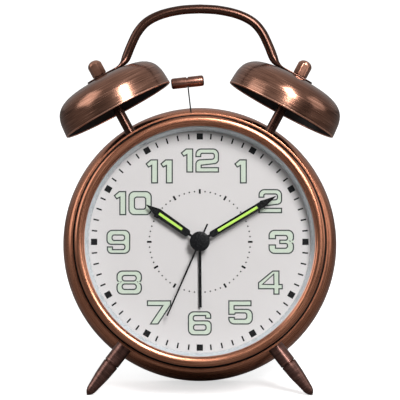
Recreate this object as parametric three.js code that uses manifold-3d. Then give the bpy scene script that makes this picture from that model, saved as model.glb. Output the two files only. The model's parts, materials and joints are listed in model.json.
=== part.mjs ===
// A twin-bell quartz alarm clock, as an assembly of separate solids.
//
// Units are millimetres. The clock is drawn upright in its own frame, with its origin at the
// centre of the dial's face: +X to the right of the dial, +Y back through the case, +Z up.
// The whole clock then leans back on its two front legs and the rear rim of its case.

import * as THREE from "three";
import { mergeVertices } from "three/addons/utils/BufferGeometryUtils.js";
import Module from "manifold-3d";

const wasm = await Module();
wasm.setup();

// ---------------------------------------------------------------- driving dimensions

const LEAN = 12; // degrees, dial tipped back from upright
const HUB_HEIGHT = 66; // dial centre above the table
const PLANE_Y = 7; // legs, posts, bells, handle and hammer share this plane
const GAP = 0.3; // air between pieces that meet

const CASE = {
  radius: 55,
  wall: 0.6,
  lipRadius: 55.3,
  frontY: -6,
  flareY: 21,
  rimY: 30,
  rimRadius: 59.8,
  rimWall: 0.8,
  backY: 38,
  segments: 40,
};

const BEZEL = { outer: 53.65, bore: 50.9, lip: 49.3, frontY: -10.5, lipY: -8.3, backY: -GAP };
const SEAL = { outer: 54.15, inner: 53.88, backY: -1 };
const CROWN = { centre: 51.5, radius: 2.1 }; // the bezel's rounded front
const LENS = { radius: 50.5, frontY: -7.8, backY: -6.4 };
const FLANGE = { dialRadius: 47.7, lensRadius: 49.25, outer: 50.5, frontY: -6.1 };
const DIAL = { radius: 53.5, thickness: 0.8, hole: 3.2 };

const LEG_NUT = { flats: 7, from: 50.9, to: 53.4 }; // distances from the case's axis
const LEG = {
  angle: 35.85, // degrees from straight down
  radius: 3.1,
  chamfer: 0.3,
  stemLength: 9.2,
  shoulder: 15.6,
  tipRadius: 1.95,
  length: 26.6,
  studRadius: 1.9,
  studDepth: 4.6,
};

const BELL = {
  centreX: 35.1,
  centreZ: 57.1,
  tilt: 28.2, // degrees outward from upright
  wall: 0.8,
  hole: 1.9,
  segments: 28,
  // outer profile: radius and height above the rim
  dome: [
    [25.3, 0],
    [25.15, 3.1],
    [24.6, 7.5],
    [22.9, 11],
    [19.4, 13.6],
    [14, 15.15],
    [7, 15.75],
    [1.9, 15.8],
  ],
};

const POST = {
  radius: 1.95,
  foot: -11.55,
  shoulder: 13.65,
  stud: 1.5,
  studTop: 21.55,
  footStud: 1.6,
  studFoot: -16.95,
};
const POST_NUT = { flats: 5.5, bottom: -15.85, top: -13.45 };
const BELL_WASHER = { radius: 3.4, hole: 1.8, thickness: 0.8 };
const CAP_NUT = { flats: 5.5, base: 17.15, domeY: 21.3, domeRadius: 2.6, bore: 1.8, turn: 38 };
const HANDLE = {
  tubeRadius: 2,
  plateBottom: 16.05,
  plateTop: 16.9,
  plateHalfWidth: 4,
  plateInner: -9,
  plateOuter: 2.3,
  // the flattened end of the tube, seen from the front, about the bell's axis
  wedge: [[-12.8, 16.95], [-9.6, 19.55], [-6.4, 16.9], [-6.4, 16.05], [-9.6, 16.05]],
  wedgeWidth: 3.6,
  // half of the tube's centre line, from the foot up to the top of the arch
  arch: [
    [33.4, 78.2],
    [32.5, 79.9],
    [29.8, 85.5],
    [27, 91.3],
    [23.1, 95.8],
    [16.6, 98.9],
    [8, 100.6],
  ],
  top: 101.1,
};

const HAMMER = {
  pivotZ: 22.4,
  reach: 47.2,
  restAngle: -6.45, // degrees, leaning to the left-hand bell
  headLength: 14.2,
  headRadius: 2.35,
  wireRadius: 0.3,
  crankZ: 32,
  crankOffset: 1.1,
  leverThickness: 2.2,
};

const BACK = {
  flangeRadius: 58.3,
  frontY: 36,
  backY: 37.8,
  spigotOuter: 57.9,
  spigotInner: 56.6,
  spigotY: 31.5,
};
const BAY = { halfWidth: 28.2, top: -12.4, bottom: -42.8, floorY: 21, wall: 1.2 };
const BATTERY = {
  radius: 7.1,
  y: 28.6,
  z: [-20.1, -35.1],
  left: -24.2,
  right: 24.8,
  nub: 2.7,
  nubLength: 1.3,
};
const KNOB = { radius: 6, frontY: 38.4, backY: 45.4, shaft: 0.8, ribs: 24 };
const SWITCH = { z: 30, travel: 5 };
const SCREW = { circle: 51.4, angles: [90, 210, 330], head: 2.2, shank: 1.1 };

const HOUSING = { left: -27, right: 27, bottom: -27, top: 11, frontY: 2.3, splitY: 10, backY: 18.6 };
const HOUSING_WALL = 1.2;

// Turning angles of the hands, clockwise from twelve, in degrees.
const HAND_ANGLE = { alarm: 179.5, hour: 304.6, minute: 59.2, second: 203.2 };

// Each hand: half of its outline, its boss and bore, its front face and its tail.
const HANDS = {
  alarm: { half: [[0.6, 0], [0.6, 26.5], [0, 28.2]], boss: 3.4, bore: 3.05, y: -1.7, tail: 0 },
  hour: {
    half: [[0.55, 0], [0.55, 5.2], [1.65, 5.8], [1.9, 22], [0, 27.8]],
    boss: 2.9,
    bore: 2.3,
    y: -3,
    tail: 0,
  },
  minute: {
    half: [[0.55, 0], [0.55, 5.2], [1.4, 5.8], [1.5, 32], [0, 38]],
    boss: 2.4,
    bore: 1.4,
    y: -4.2,
    tail: 0,
  },
  second: { half: [[0.42, 0], [0.3, 34.8]], boss: 4.3, bore: 0, y: -5.5, tail: 8.2 },
};
const HAND_THICKNESS = 0.3;

// Gear train: teeth and modules. The arbors' places about the dial centre come from them.
const MOTION = { module: 0.3, cannon: 10, wheel: 30, pinion: 8, hour: 32, setting: 10 };
const ALARM_SET = { module: 0.3, wheel: 40, pinion: 10 };
const GOING = { module: 0.24, rotorModule: 0.2, second: 40, idlerPinion: 10, idler: 45, rotor: 6 };
const THIRD_ARBOR = 5.4; // from the dial centre
const THIRD = {
  module: (2 * THIRD_ARBOR) / (6 + 45),
  backModule: 0.2,
  secondPinion: 6,
  wheel: 45,
  pinion: 6,
  minute: 48,
};

// ---------------------------------------------------------------- small helpers

const radians = THREE.MathUtils.degToRad;

// A point in the dial's plane at a distance and an angle, in degrees from +X towards +Z.
function polar(distance, angle) {
  return new THREE.Vector2(distance * Math.cos(radians(angle)), distance * Math.sin(radians(angle)));
}

// A closed geometry as a manifold solid, with its shared vertices merged.
function toSolid(geometry) {
  const loose = geometry.index ? geometry.toNonIndexed() : geometry.clone();
  const bare = new THREE.BufferGeometry();
  bare.setAttribute("position", loose.getAttribute("position"));
  const merged = mergeVertices(bare, 1e-4);
  return new wasm.Manifold(
    new wasm.Mesh({
      numProp: 3,
      vertProperties: merged.attributes.position.array,
      triVerts: new Uint32Array(merged.index.array),
    }),
  );
}

function toGeometry(solid) {
  const mesh = solid.getMesh();
  const geometry = new THREE.BufferGeometry();
  geometry.setAttribute("position", new THREE.BufferAttribute(mesh.vertProperties, 3));
  geometry.setIndex(new THREE.BufferAttribute(mesh.triVerts, 1));
  return geometry;
}

function join(...geometries) {
  return toGeometry(geometries.map(toSolid).reduce((whole, more) => whole.add(more)));
}

function cut(geometry, ...tools) {
  return toGeometry(tools.map(toSolid).reduce((whole, tool) => whole.subtract(tool), toSolid(geometry)));
}

// A solid of revolution about Y. The profile is a list of [radius, y]; it starts and ends on
// the axis, or is closed here when it goes round a hollow.
function turned(profile, segments = 24) {
  const points = profile.map(([r, y]) => new THREE.Vector2(r, y));
  const onAxis = points[0].x === 0 && points.at(-1).x === 0;
  if (!onAxis) points.push(points[0].clone());
  const area = THREE.ShapeUtils.area(onAxis ? points : points.slice(0, -1));
  if (area < 0) points.reverse();
  return new THREE.LatheGeometry(points, segments);
}

function rod(radius, y0, y1, segments = 16) {
  return new THREE.CylinderGeometry(radius, radius, y1 - y0, segments).translate(0, (y0 + y1) / 2, 0);
}

function tube(outer, inner, y0, y1, segments = 16) {
  return turned([[inner, y0], [outer, y0], [outer, y1], [inner, y1]], segments);
}

function box(x0, x1, y0, y1, z0, z1) {
  const geometry = new THREE.BoxGeometry(x1 - x0, y1 - y0, z1 - z0);
  return geometry.translate((x0 + x1) / 2, (y0 + y1) / 2, (z0 + z1) / 2);
}

// A flat piece: an outline in X and Z, given a thickness from y0 to y1.
function sheet(outline, y0, y1, curveSegments = 12) {
  const shape = Array.isArray(outline)
    ? new THREE.Shape(outline.map(([x, z]) => new THREE.Vector2(x, z)))
    : outline;
  const geometry = new THREE.ExtrudeGeometry(shape, { depth: y1 - y0, bevelEnabled: false, curveSegments });
  return geometry.rotateX(Math.PI / 2).translate(0, y1, 0);
}

function arc(centreX, centreY, radius, from, to, steps) {
  return Array.from({ length: steps + 1 }, (_, i) => {
    const angle = radians(from + ((to - from) * i) / steps);
    return [centreX + radius * Math.cos(angle), centreY + radius * Math.sin(angle)];
  });
}

// Places a piece drawn about the Y axis so that this axis runs along a direction from a point.
function placed(geometry, origin, direction) {
  const turn = new THREE.Quaternion().setFromUnitVectors(new THREE.Vector3(0, 1, 0), direction);
  return geometry.applyQuaternion(turn).translate(origin.x, origin.y, origin.z);
}

function hexagon(flats, y0, y1) {
  return rod(flats / Math.sqrt(3), y0, y1, 6);
}

function finish(color, roughness, metalness) {
  return () => new THREE.MeshStandardMaterial({ color, roughness, metalness });
}

const copper = finish("#b07a5a", 0.35, 1);
const darkCopper = finish("#6b4638", 0.4, 1);
const steel = finish("#b8bcc0", 0.3, 1);
const brass = finish("#c9a45a", 0.35, 1);
const blackPlastic = finish("#17171a", 0.5, 0);
const whitePlastic = finish("#dcd9d4", 0.6, 0);
const greyPlastic = finish("#969ea5", 0.3, 0);
const rubber = finish("#131313", 0.8, 0);
const glass = finish("#f2f6f7", 0.05, 0);
const blackPaint = finish("#101012", 0.4, 0);
const magnet = finish("#3b3b40", 0.5, 0.6);
const copperWire = finish("#c0703a", 0.45, 0.8);
const boardGreen = finish("#2f6b45", 0.6, 0);
const label = finish("#8a8f95", 0.35, 0.5);

function piece(name, geometry, material) {
  const mesh = new THREE.Mesh(geometry, material());
  mesh.name = name;
  return mesh;
}

// ---------------------------------------------------------------- gears

const TIP = 0.6; // tooth above the pitch circle, in modules
const ROOT = 1; // tooth below the pitch circle, in modules

// The outline of a gear with fine straight-sided teeth; phase is the direction of one tooth.
function gearShape(teeth, module, phase, bore = 0) {
  const pitch = (teeth * module) / 2;
  const pitchAngle = (2 * Math.PI) / teeth;
  const points = [];
  for (let i = 0; i < teeth; i++) {
    const angle = phase + i * pitchAngle;
    const tip = pitch + TIP * module;
    const root = pitch - ROOT * module;
    points.push(new THREE.Vector2(tip * Math.cos(angle), tip * Math.sin(angle)));
    const valley = angle + pitchAngle / 2;
    points.push(new THREE.Vector2(root * Math.cos(valley), root * Math.sin(valley)));
  }
  const shape = new THREE.Shape(points);
  if (bore > 0) shape.holes.push(new THREE.Path().absarc(0, 0, bore, 0, 2 * Math.PI, true));
  return shape;
}

function gear(teeth, module, phase, y0, y1, bore = 0) {
  return sheet(gearShape(teeth, module, phase, bore), y0, y1, 6);
}

// The phase that lets a second gear mesh with a first one that lies in the other direction.
function meshPhase(phase, teeth, otherTeeth, direction) {
  return direction + Math.PI - ((phase - direction) * teeth) / otherTeeth - Math.PI / otherTeeth;
}

// ---------------------------------------------------------------- the clock's own frame

const clock = new THREE.Group();
clock.rotation.x = -radians(LEAN);
clock.position.set(0, 0, HUB_HEIGHT);
clock.updateMatrixWorld(true);

// The table's space as a box in the clock's frame, for the flats that it stands on.
function tableBlock() {
  const block = box(-200, 200, -200, 200, -50, 0);
  return block.applyMatrix4(clock.matrixWorld.clone().invert());
}

// ---------------------------------------------------------------- case

const SIDES = [
  { name: "left", sign: -1 },
  { name: "right", sign: 1 },
];

function bellAxis(sign) {
  const tilt = radians(BELL.tilt);
  return new THREE.Vector3(sign * Math.sin(tilt), 0, Math.cos(tilt));
}

function bellCentre(sign) {
  return new THREE.Vector3(sign * BELL.centreX, PLANE_Y, BELL.centreZ);
}

function legAxis(sign) {
  const angle = radians(LEG.angle);
  return new THREE.Vector3(sign * Math.sin(angle), 0, -Math.cos(angle));
}

function caseDrum() {
  const { radius, wall, lipRadius, frontY, flareY, rimY, rimRadius, rimWall, backY, segments } = CASE;
  const swell = (offset) =>
    [1, 2, 3].map((i) => {
      const turn = (i / 3) * (Math.PI / 2);
      const r = radius + (rimRadius - radius) * Math.sin(turn) - offset;
      return [r, flareY + (rimY - flareY) * (1 - Math.cos(turn)) + offset * 0.6];
    });
  const lip = [[lipRadius, frontY], [lipRadius, frontY + 0.9]];
  const outside = [...lip, [radius, frontY + 1.2], [radius, flareY]];
  const inside = [[rimRadius - rimWall, backY], ...swell(rimWall).reverse()];
  inside.push([radius - wall, flareY + rimWall], [radius - wall, frontY]);
  const shell = turned([...outside, ...swell(0), [rimRadius, backY], ...inside], segments);

  const lugs = SCREW.angles.map((angle) => {
    const lug = box(48.5, radius - wall / 2, 16, 20, -3, 3);
    const bore = rod(1.5, 15, 21, 12).translate(SCREW.circle, 0, 0);
    return cut(lug, bore).rotateY(-radians(angle));
  });
  const holes = SIDES.flatMap(({ sign }) => [
    placed(rod(2.2, -20, -5), bellCentre(sign), bellAxis(sign)),
    placed(rod(2.3, 48, 62), new THREE.Vector3(0, PLANE_Y, 0), legAxis(sign)),
  ]);
  const slot = box(-5.4, 5.4, PLANE_Y - 1.2, PLANE_Y + 1.2, 50, 60);
  return piece("case_drum", cut(join(shell, ...lugs), ...holes, slot, tableBlock()), copper);
}

function bezel() {
  const { outer, bore, lip, frontY, lipY, backY } = BEZEL;
  const crown = arc(CROWN.centre, frontY + CROWN.radius, CROWN.radius, 175, 355, 6);
  const ledge = [[bore, backY], [bore, lipY + 0.2], [lip, lipY + 0.2], [lip, lipY]];
  return piece("bezel", turned([...ledge, ...crown, [outer, backY]], CASE.segments), copper);
}

function bezelSeal() {
  return piece("bezel_seal", tube(SEAL.outer, SEAL.inner, CASE.frontY, SEAL.backY, CASE.segments), rubber);
}

function lens() {
  const { radius, frontY, backY } = LENS;
  const disc = turned([[0, frontY], [radius, frontY], [radius, backY], [0, backY]], CASE.segments);
  return piece("lens", disc, glass);
}

function dialFlange() {
  const { dialRadius, lensRadius, outer, frontY } = FLANGE;
  const profile = [[dialRadius, -GAP], [lensRadius, frontY], [outer, frontY], [outer, -GAP]];
  return piece("dial_flange", turned(profile, CASE.segments), greyPlastic);
}

function dial() {
  return piece("dial", tube(DIAL.radius, DIAL.hole, 0, DIAL.thickness, CASE.segments), whitePlastic);
}

// ---------------------------------------------------------------- legs

function legParts({ name, sign }) {
  const foot = CASE.radius + GAP;
  const origin = new THREE.Vector3(0, PLANE_Y, 0);
  const axis = legAxis(sign);
  const { radius, stemLength, shoulder, tipRadius, length, studRadius, studDepth } = LEG;

  const stem = turned(
    [
      [0, foot - studDepth],
      [studRadius, foot - studDepth],
      [studRadius, foot],
      [radius, foot],
      [radius, foot + stemLength - LEG.chamfer],
      [radius - LEG.chamfer, foot + stemLength],
      [0, foot + stemLength],
    ],
    20,
  );
  const top = foot + stemLength + GAP;
  const end = CASE.radius + length;
  const bullet = arc(0, end - tipRadius, tipRadius, 0, 90, 4);
  bullet[4] = [0, end];
  const tip = turned(
    [
      [0, top],
      [radius - LEG.chamfer, top],
      [radius, top + LEG.chamfer],
      [radius, CASE.radius + shoulder],
      ...bullet,
    ],
    20,
  );
  const nutBore = rod(studRadius + GAP, LEG_NUT.from - 1, LEG_NUT.to + 1);
  const nut = cut(hexagon(LEG_NUT.flats, LEG_NUT.from, LEG_NUT.to), nutBore);
  return [
    piece("leg_stem_" + name, placed(stem, origin, axis), darkCopper),
    piece("leg_foot_" + name, cut(placed(tip, origin, axis), tableBlock()), darkCopper),
    piece("leg_nut_" + name, placed(nut, origin, axis), steel),
  ];
}

// ---------------------------------------------------------------- bells and handle

function bellParts({ name, sign }) {
  const at = (geometry) => placed(geometry, bellCentre(sign), bellAxis(sign));
  const top = BELL.dome.at(-1);
  // the inside: moved in by the wall at the rim, and down by the wall at the top
  const inner = BELL.dome.map(([r, h]) => {
    const share = h / top[1];
    return [r - BELL.wall * Math.cos(share * 1.5), h - BELL.wall * share];
  });
  inner[inner.length - 1] = [BELL.hole, top[1] - BELL.wall];
  const shell = turned([...BELL.dome, ...inner.reverse()], BELL.segments);

  const { radius, foot, shoulder, stud, studTop, footStud, studFoot } = POST;
  const post = turned(
    [
      [0, studFoot],
      [footStud, studFoot],
      [footStud, foot],
      [radius, foot],
      [radius, shoulder],
      [stud, shoulder],
      [stud, studTop],
      [0, studTop],
    ],
    16,
  );
  const { radius: washerRadius, hole, thickness } = BELL_WASHER;
  const rest = shoulder + 0.25;
  const washer = tube(washerRadius, hole, rest, rest + thickness, 16);
  const nutBore = rod(footStud + GAP, POST_NUT.bottom - 1, POST_NUT.top + 1);
  const nut = cut(hexagon(POST_NUT.flats, POST_NUT.bottom, POST_NUT.top), nutBore);

  const { flats, base, domeY, domeRadius, bore, turn } = CAP_NUT;
  const corner = flats / Math.sqrt(3);
  const dome = arc(0, domeY, domeRadius, 20, 90, 4).map(([r, y]) => [Math.max(r, 0), y]);
  const domed = turned([[0, base], [corner, base], [corner, domeY], ...dome], 18);
  const hex = toSolid(domed).intersect(toSolid(hexagon(flats, base - 1, domeY + domeRadius + 1)));
  const capNut = cut(toGeometry(hex).rotateY(radians(turn)), rod(bore, base - 1, studTop + 0.4));
  return [
    piece("bell_" + name, at(shell), copper),
    piece("bell_post_" + name, at(post), darkCopper),
    piece("bell_washer_" + name, at(washer), rubber),
    piece("post_nut_" + name, at(nut), steel),
    piece("cap_nut_" + name, at(capNut), darkCopper),
  ];
}

// A foot of the handle, drawn about the bell's own axis: a flat plate under the cap nut and
// the wedge where the tube's flattened end turns into it.
function handleFoot(sign) {
  const { plateBottom, plateTop, plateHalfWidth, plateInner, plateOuter } = HANDLE;
  const outline = new THREE.Shape();
  outline.moveTo(plateInner, -plateHalfWidth);
  outline.lineTo(plateOuter, -plateHalfWidth);
  outline.absarc(plateOuter, 0, plateHalfWidth, -Math.PI / 2, Math.PI / 2, false);
  outline.lineTo(plateInner, plateHalfWidth);
  outline.holes.push(new THREE.Path().absarc(0, 0, BELL.hole, 0, 2 * Math.PI, true));
  const plate = sheet(outline, plateBottom, plateTop, 8);

  const side = new THREE.Shape(HANDLE.wedge.map(([u, v]) => new THREE.Vector2(u, v)));
  const depth = HANDLE.wedgeWidth;
  const wedge = new THREE.ExtrudeGeometry(side, { depth, bevelEnabled: false });
  const foot = join(plate, wedge.translate(0, 0, -depth / 2));

  const up = bellAxis(sign);
  const out = new THREE.Vector3(up.z * sign, 0, -up.x * sign);
  const basis = new THREE.Matrix4().makeBasis(out, up, new THREE.Vector3().crossVectors(out, up));
  return foot.applyMatrix4(basis.setPosition(bellCentre(sign)));
}

function handle() {
  const right = HANDLE.arch.map(([x, z]) => new THREE.Vector3(x, PLANE_Y, z));
  const left = HANDLE.arch.map(([x, z]) => new THREE.Vector3(-x, PLANE_Y, z));
  const summit = new THREE.Vector3(0, PLANE_Y, HANDLE.top);
  const path = new THREE.CatmullRomCurve3([...left, summit, ...right.reverse()]);
  const section = new THREE.Shape().absarc(0, 0, HANDLE.tubeRadius, 0, 2 * Math.PI, false);
  const arch = new THREE.ExtrudeGeometry(section, { steps: 30, extrudePath: path, curveSegments: 5 });
  return piece("handle", join(arch, handleFoot(-1), handleFoot(1)), darkCopper);
}

// ---------------------------------------------------------------- places of the arbors

const TOWARD_THIRD = 250; // degrees, directions of the arbors from the dial centre
const TOWARD_IDLER = 320;
const TOWARD_MOTION = 30;
const TOWARD_ALARM = 150;

function centreDistance(module, teeth, otherTeeth) {
  return (module * (teeth + otherTeeth)) / 2;
}

const idlerDistance = centreDistance(GOING.module, GOING.second, GOING.idlerPinion);
const rotorDistance = idlerDistance + centreDistance(GOING.rotorModule, GOING.idler, GOING.rotor);
const thirdPlace = polar(THIRD_ARBOR, TOWARD_THIRD);
const idlerPlace = polar(idlerDistance, TOWARD_IDLER);
const rotorPlace = polar(rotorDistance, TOWARD_IDLER);
const motionPlace = polar(centreDistance(MOTION.module, MOTION.cannon, MOTION.wheel), TOWARD_MOTION);

// The two knob shafts come out of the back at these places.
const timeShaft = polar(12, TOWARD_MOTION);
const alarmShaft = polar(7.5, TOWARD_ALARM);

// ---------------------------------------------------------------- back of the case

function backCover() {
  const { flangeRadius, frontY, backY, spigotOuter, spigotInner, spigotY } = BACK;
  const { halfWidth, top, bottom, floorY, wall } = BAY;
  const disc = turned(
    [
      [0, frontY],
      [spigotInner, frontY],
      [spigotInner, spigotY],
      [spigotOuter, spigotY],
      [spigotOuter, frontY],
      [flangeRadius, frontY],
      [flangeRadius, backY - 0.6],
      [flangeRadius - 0.6, backY],
      [0, backY],
    ],
    CASE.segments,
  );
  const side = halfWidth + wall;
  const tray = box(-side, side, floorY - wall, frontY + 0.5, bottom - wall, top + wall);
  const bay = box(-halfWidth, halfWidth, floorY, backY + 1, bottom, top);
  const bosses = SCREW.angles.map((angle) => {
    const middle = polar(SCREW.circle, angle);
    return tube(2.6, 1.5, 20.4, frontY + 0.5, 12).translate(middle.x, 0, middle.y);
  });
  const shaftHoles = [timeShaft, alarmShaft].map((p) => rod(1.4, 30, 40, 12).translate(p.x, 0, p.y));
  const screwHoles = SCREW.angles.map((angle) => {
    const middle = polar(SCREW.circle, angle);
    return rod(1.5, 30, 40, 12).translate(middle.x, 0, middle.y);
  });
  const switchSlot = box(-4.6, 4.6, 30, 40, SWITCH.z - 1.6, SWITCH.z + 1.6);
  const shell = cut(join(disc, tray, ...bosses), bay, switchSlot, ...shaftHoles, ...screwHoles);
  return piece("back_cover", shell, blackPlastic);
}

function backScrew(angle, index) {
  const middle = polar(SCREW.circle, angle);
  const seat = BACK.backY + GAP;
  const head = [[SCREW.shank, seat], [SCREW.head, seat], [SCREW.head, seat + 0.7]];
  const profile = [[0, 14.6], [SCREW.shank, 15.4], ...head, [1.2, seat + 1.3], [0, seat + 1.4]];
  const slots = [box(-1.3, 1.3, 38.6, 41, -0.25, 0.25), box(-0.25, 0.25, 38.6, 41, -1.3, 1.3)];
  const body = cut(turned(profile, 12), ...slots).translate(middle.x, 0, middle.y);
  return piece("back_screw_" + (index + 1), body, steel);
}

function batteryDoor() {
  const { halfWidth, top, bottom } = BAY;
  const plate = box(-halfWidth + 0.4, halfWidth - 0.4, 36.1, 37.7, bottom + 0.4, top - 0.4);
  const ribs = [4, 6, 8].map((height) => {
    const z = bottom + height;
    return box(-8, 8, 37.6, 38.2, z - 0.5, z + 0.5);
  });
  return piece("battery_door", join(plate, ...ribs), blackPlastic);
}

function battery(z, index) {
  const { radius, y, left, right, nub, nubLength } = BATTERY;
  const length = right - left;
  const body = [[0, 0], [radius, 0], [radius, length], [nub, length]];
  const cell = turned([...body, [nub, length + nubLength], [0, length + nubLength]], 24);
  const direction = new THREE.Vector3(index === 0 ? 1 : -1, 0, 0);
  const start = new THREE.Vector3(index === 0 ? left : -left, y, z);
  return piece("battery_" + (index + 1), placed(cell, start, direction), label);
}

// One contact strip: a plate across both cells with the coil spring that presses one of them.
function batteryContact(name, sign, springZ) {
  const x0 = BAY.halfWidth - GAP - 0.4;
  const plate = box(x0, x0 + 0.4, BATTERY.y - 5, BATTERY.y + 5, BATTERY.z[1] - 5, BATTERY.z[0] + 5);
  const turns = 3;
  const steps = turns * 8;
  const points = Array.from({ length: steps + 1 }, (_, i) => {
    const along = i / steps;
    const angle = along * turns * 2 * Math.PI;
    const reach = 4 - 1.6 * along;
    return new THREE.Vector3(
      x0 + 0.1 - along * 2.7,
      BATTERY.y + reach * Math.cos(angle),
      springZ + reach * Math.sin(angle),
    );
  });
  const wire = new THREE.Shape().absarc(0, 0, 0.3, 0, 2 * Math.PI, false);
  const path = new THREE.CatmullRomCurve3(points);
  const spring = new THREE.ExtrudeGeometry(wire, { steps, extrudePath: path, curveSegments: 2 });
  const whole = join(plate, spring);
  if (sign < 0) {
    whole.rotateY(Math.PI).rotateX(Math.PI);
    whole.translate(0, 2 * BATTERY.y, 0);
  }
  return piece("battery_contact_" + name, whole, steel);
}

function knob(name, shaft, shaftFront, pinion) {
  const { radius, frontY, backY, ribs } = KNOB;
  const outline = [];
  for (let i = 0; i < ribs; i++) {
    const angle = (i / ribs) * 2 * Math.PI;
    const half = Math.PI / ribs;
    outline.push([radius * Math.cos(angle), radius * Math.sin(angle)]);
    outline.push([(radius - 0.35) * Math.cos(angle + half), (radius - 0.35) * Math.sin(angle + half)]);
  }
  const cap = sheet(outline, frontY, backY);
  const shank = rod(KNOB.shaft, shaftFront, frontY + 1, 12);
  return piece(name, join(cap, shank, pinion).translate(shaft.x, 0, shaft.y), blackPlastic);
}

function alarmSwitch() {
  const z = SWITCH.z;
  const slider = box(-8, 3, 34.6, 35.7, z - 3, z + 3);
  const neck = box(-4, -1, 35.5, 38.4, z - 1.2, z + 1.2);
  const thumb = box(-5, 0, 38.2, 40.2, z - 2.6, z + 2.6);
  return piece("alarm_switch", join(slider, neck, thumb), whitePlastic);
}

// ---------------------------------------------------------------- hands

// A hand drawn towards twelve about a round boss, then turned to where it rests.
function hand(name) {
  const { half, boss, bore, y, tail } = HANDS[name];
  const back = y + HAND_THICKNESS;
  const mirrored = half.map(([x, z]) => [-x, z]).reverse();
  const outline = half.at(-1)[0] === 0 ? [...half, ...mirrored.slice(1)] : [...half, ...mirrored];
  const parts = [sheet(outline, y, back), rod(boss, y, back, 20)];
  if (tail > 0) parts.push(box(-half[0][0], half[0][0], y, back, -tail, 0));
  const whole = bore > 0 ? cut(join(...parts), rod(bore, y - 1, back + 1, 16)) : join(...parts);
  return piece(name + "_hand", whole.rotateY(radians(HAND_ANGLE[name])), blackPaint);
}

// ---------------------------------------------------------------- movement

function movementFront() {
  const { left, right, bottom, top, frontY, splitY } = HOUSING;
  const w = HOUSING_WALL;
  const shell = cut(
    box(left, right, frontY, splitY, bottom, top),
    box(left + w, right - w, frontY + w, splitY + 1, bottom + w, top - w),
    rod(DIAL.hole, 0, 5, 20),
  );
  return piece("movement_front", shell, blackPlastic);
}

function movementRear() {
  const { left, right, bottom, top, splitY, backY } = HOUSING;
  const w = HOUSING_WALL;
  const shell = cut(
    box(left, right, splitY + GAP, backY, bottom, top),
    box(left + w, right - w, splitY - 1, backY - w, bottom + w, top - w),
    rod(1.3, 15, 20, 12).translate(timeShaft.x, 0, timeShaft.y),
    rod(1.3, 15, 20, 12).translate(alarmShaft.x, 0, alarmShaft.y),
  );
  const stud = rod(0.45, 6.6, backY - w / 2, 12).translate(motionPlace.x, 0, motionPlace.y);
  return piece("movement_rear", join(shell, stud), blackPlastic);
}

function circuitBoard() {
  const board = box(-25, -13, 12, 13, -25, 5);
  const chip = box(-21.5, -16.5, 12.9, 14.6, -13, -7);
  const crystal = rod(1, -3, 3, 12).rotateX(Math.PI / 2).translate(-19, 13.7, -1);
  return piece("circuit_board", join(board, chip, crystal), boardGreen);
}

function coil() {
  const start = -8.6;
  const end = 11.2;
  const flange = 3.2;
  const winding = 2.7;
  const spool = turned(
    [
      [0, start],
      [flange, start],
      [flange, start + 1],
      [winding, start + 1],
      [winding, end - 1],
      [flange, end - 1],
      [flange, end],
      [0, end],
    ],
    20,
  );
  const along = new THREE.Vector3(1, 0, 0);
  return piece("coil", placed(spool, new THREE.Vector3(0, 14, -20), along), copperWire);
}

function stator() {
  const outline = [
    [2.8, -2],
    [14.2, -2],
    [14.2, -23],
    [11.6, -23],
    [11.6, -13],
    [-9, -13],
    [-9, -23],
    [-11.6, -23],
    [-11.6, -10.5],
    [2.8, -10.5],
  ];
  const window = rod(3.4, 13, 16, 20).translate(rotorPlace.x, 0, rotorPlace.y);
  return piece("stator", cut(sheet(outline, 14.3, 14.9), window), steel);
}

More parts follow.
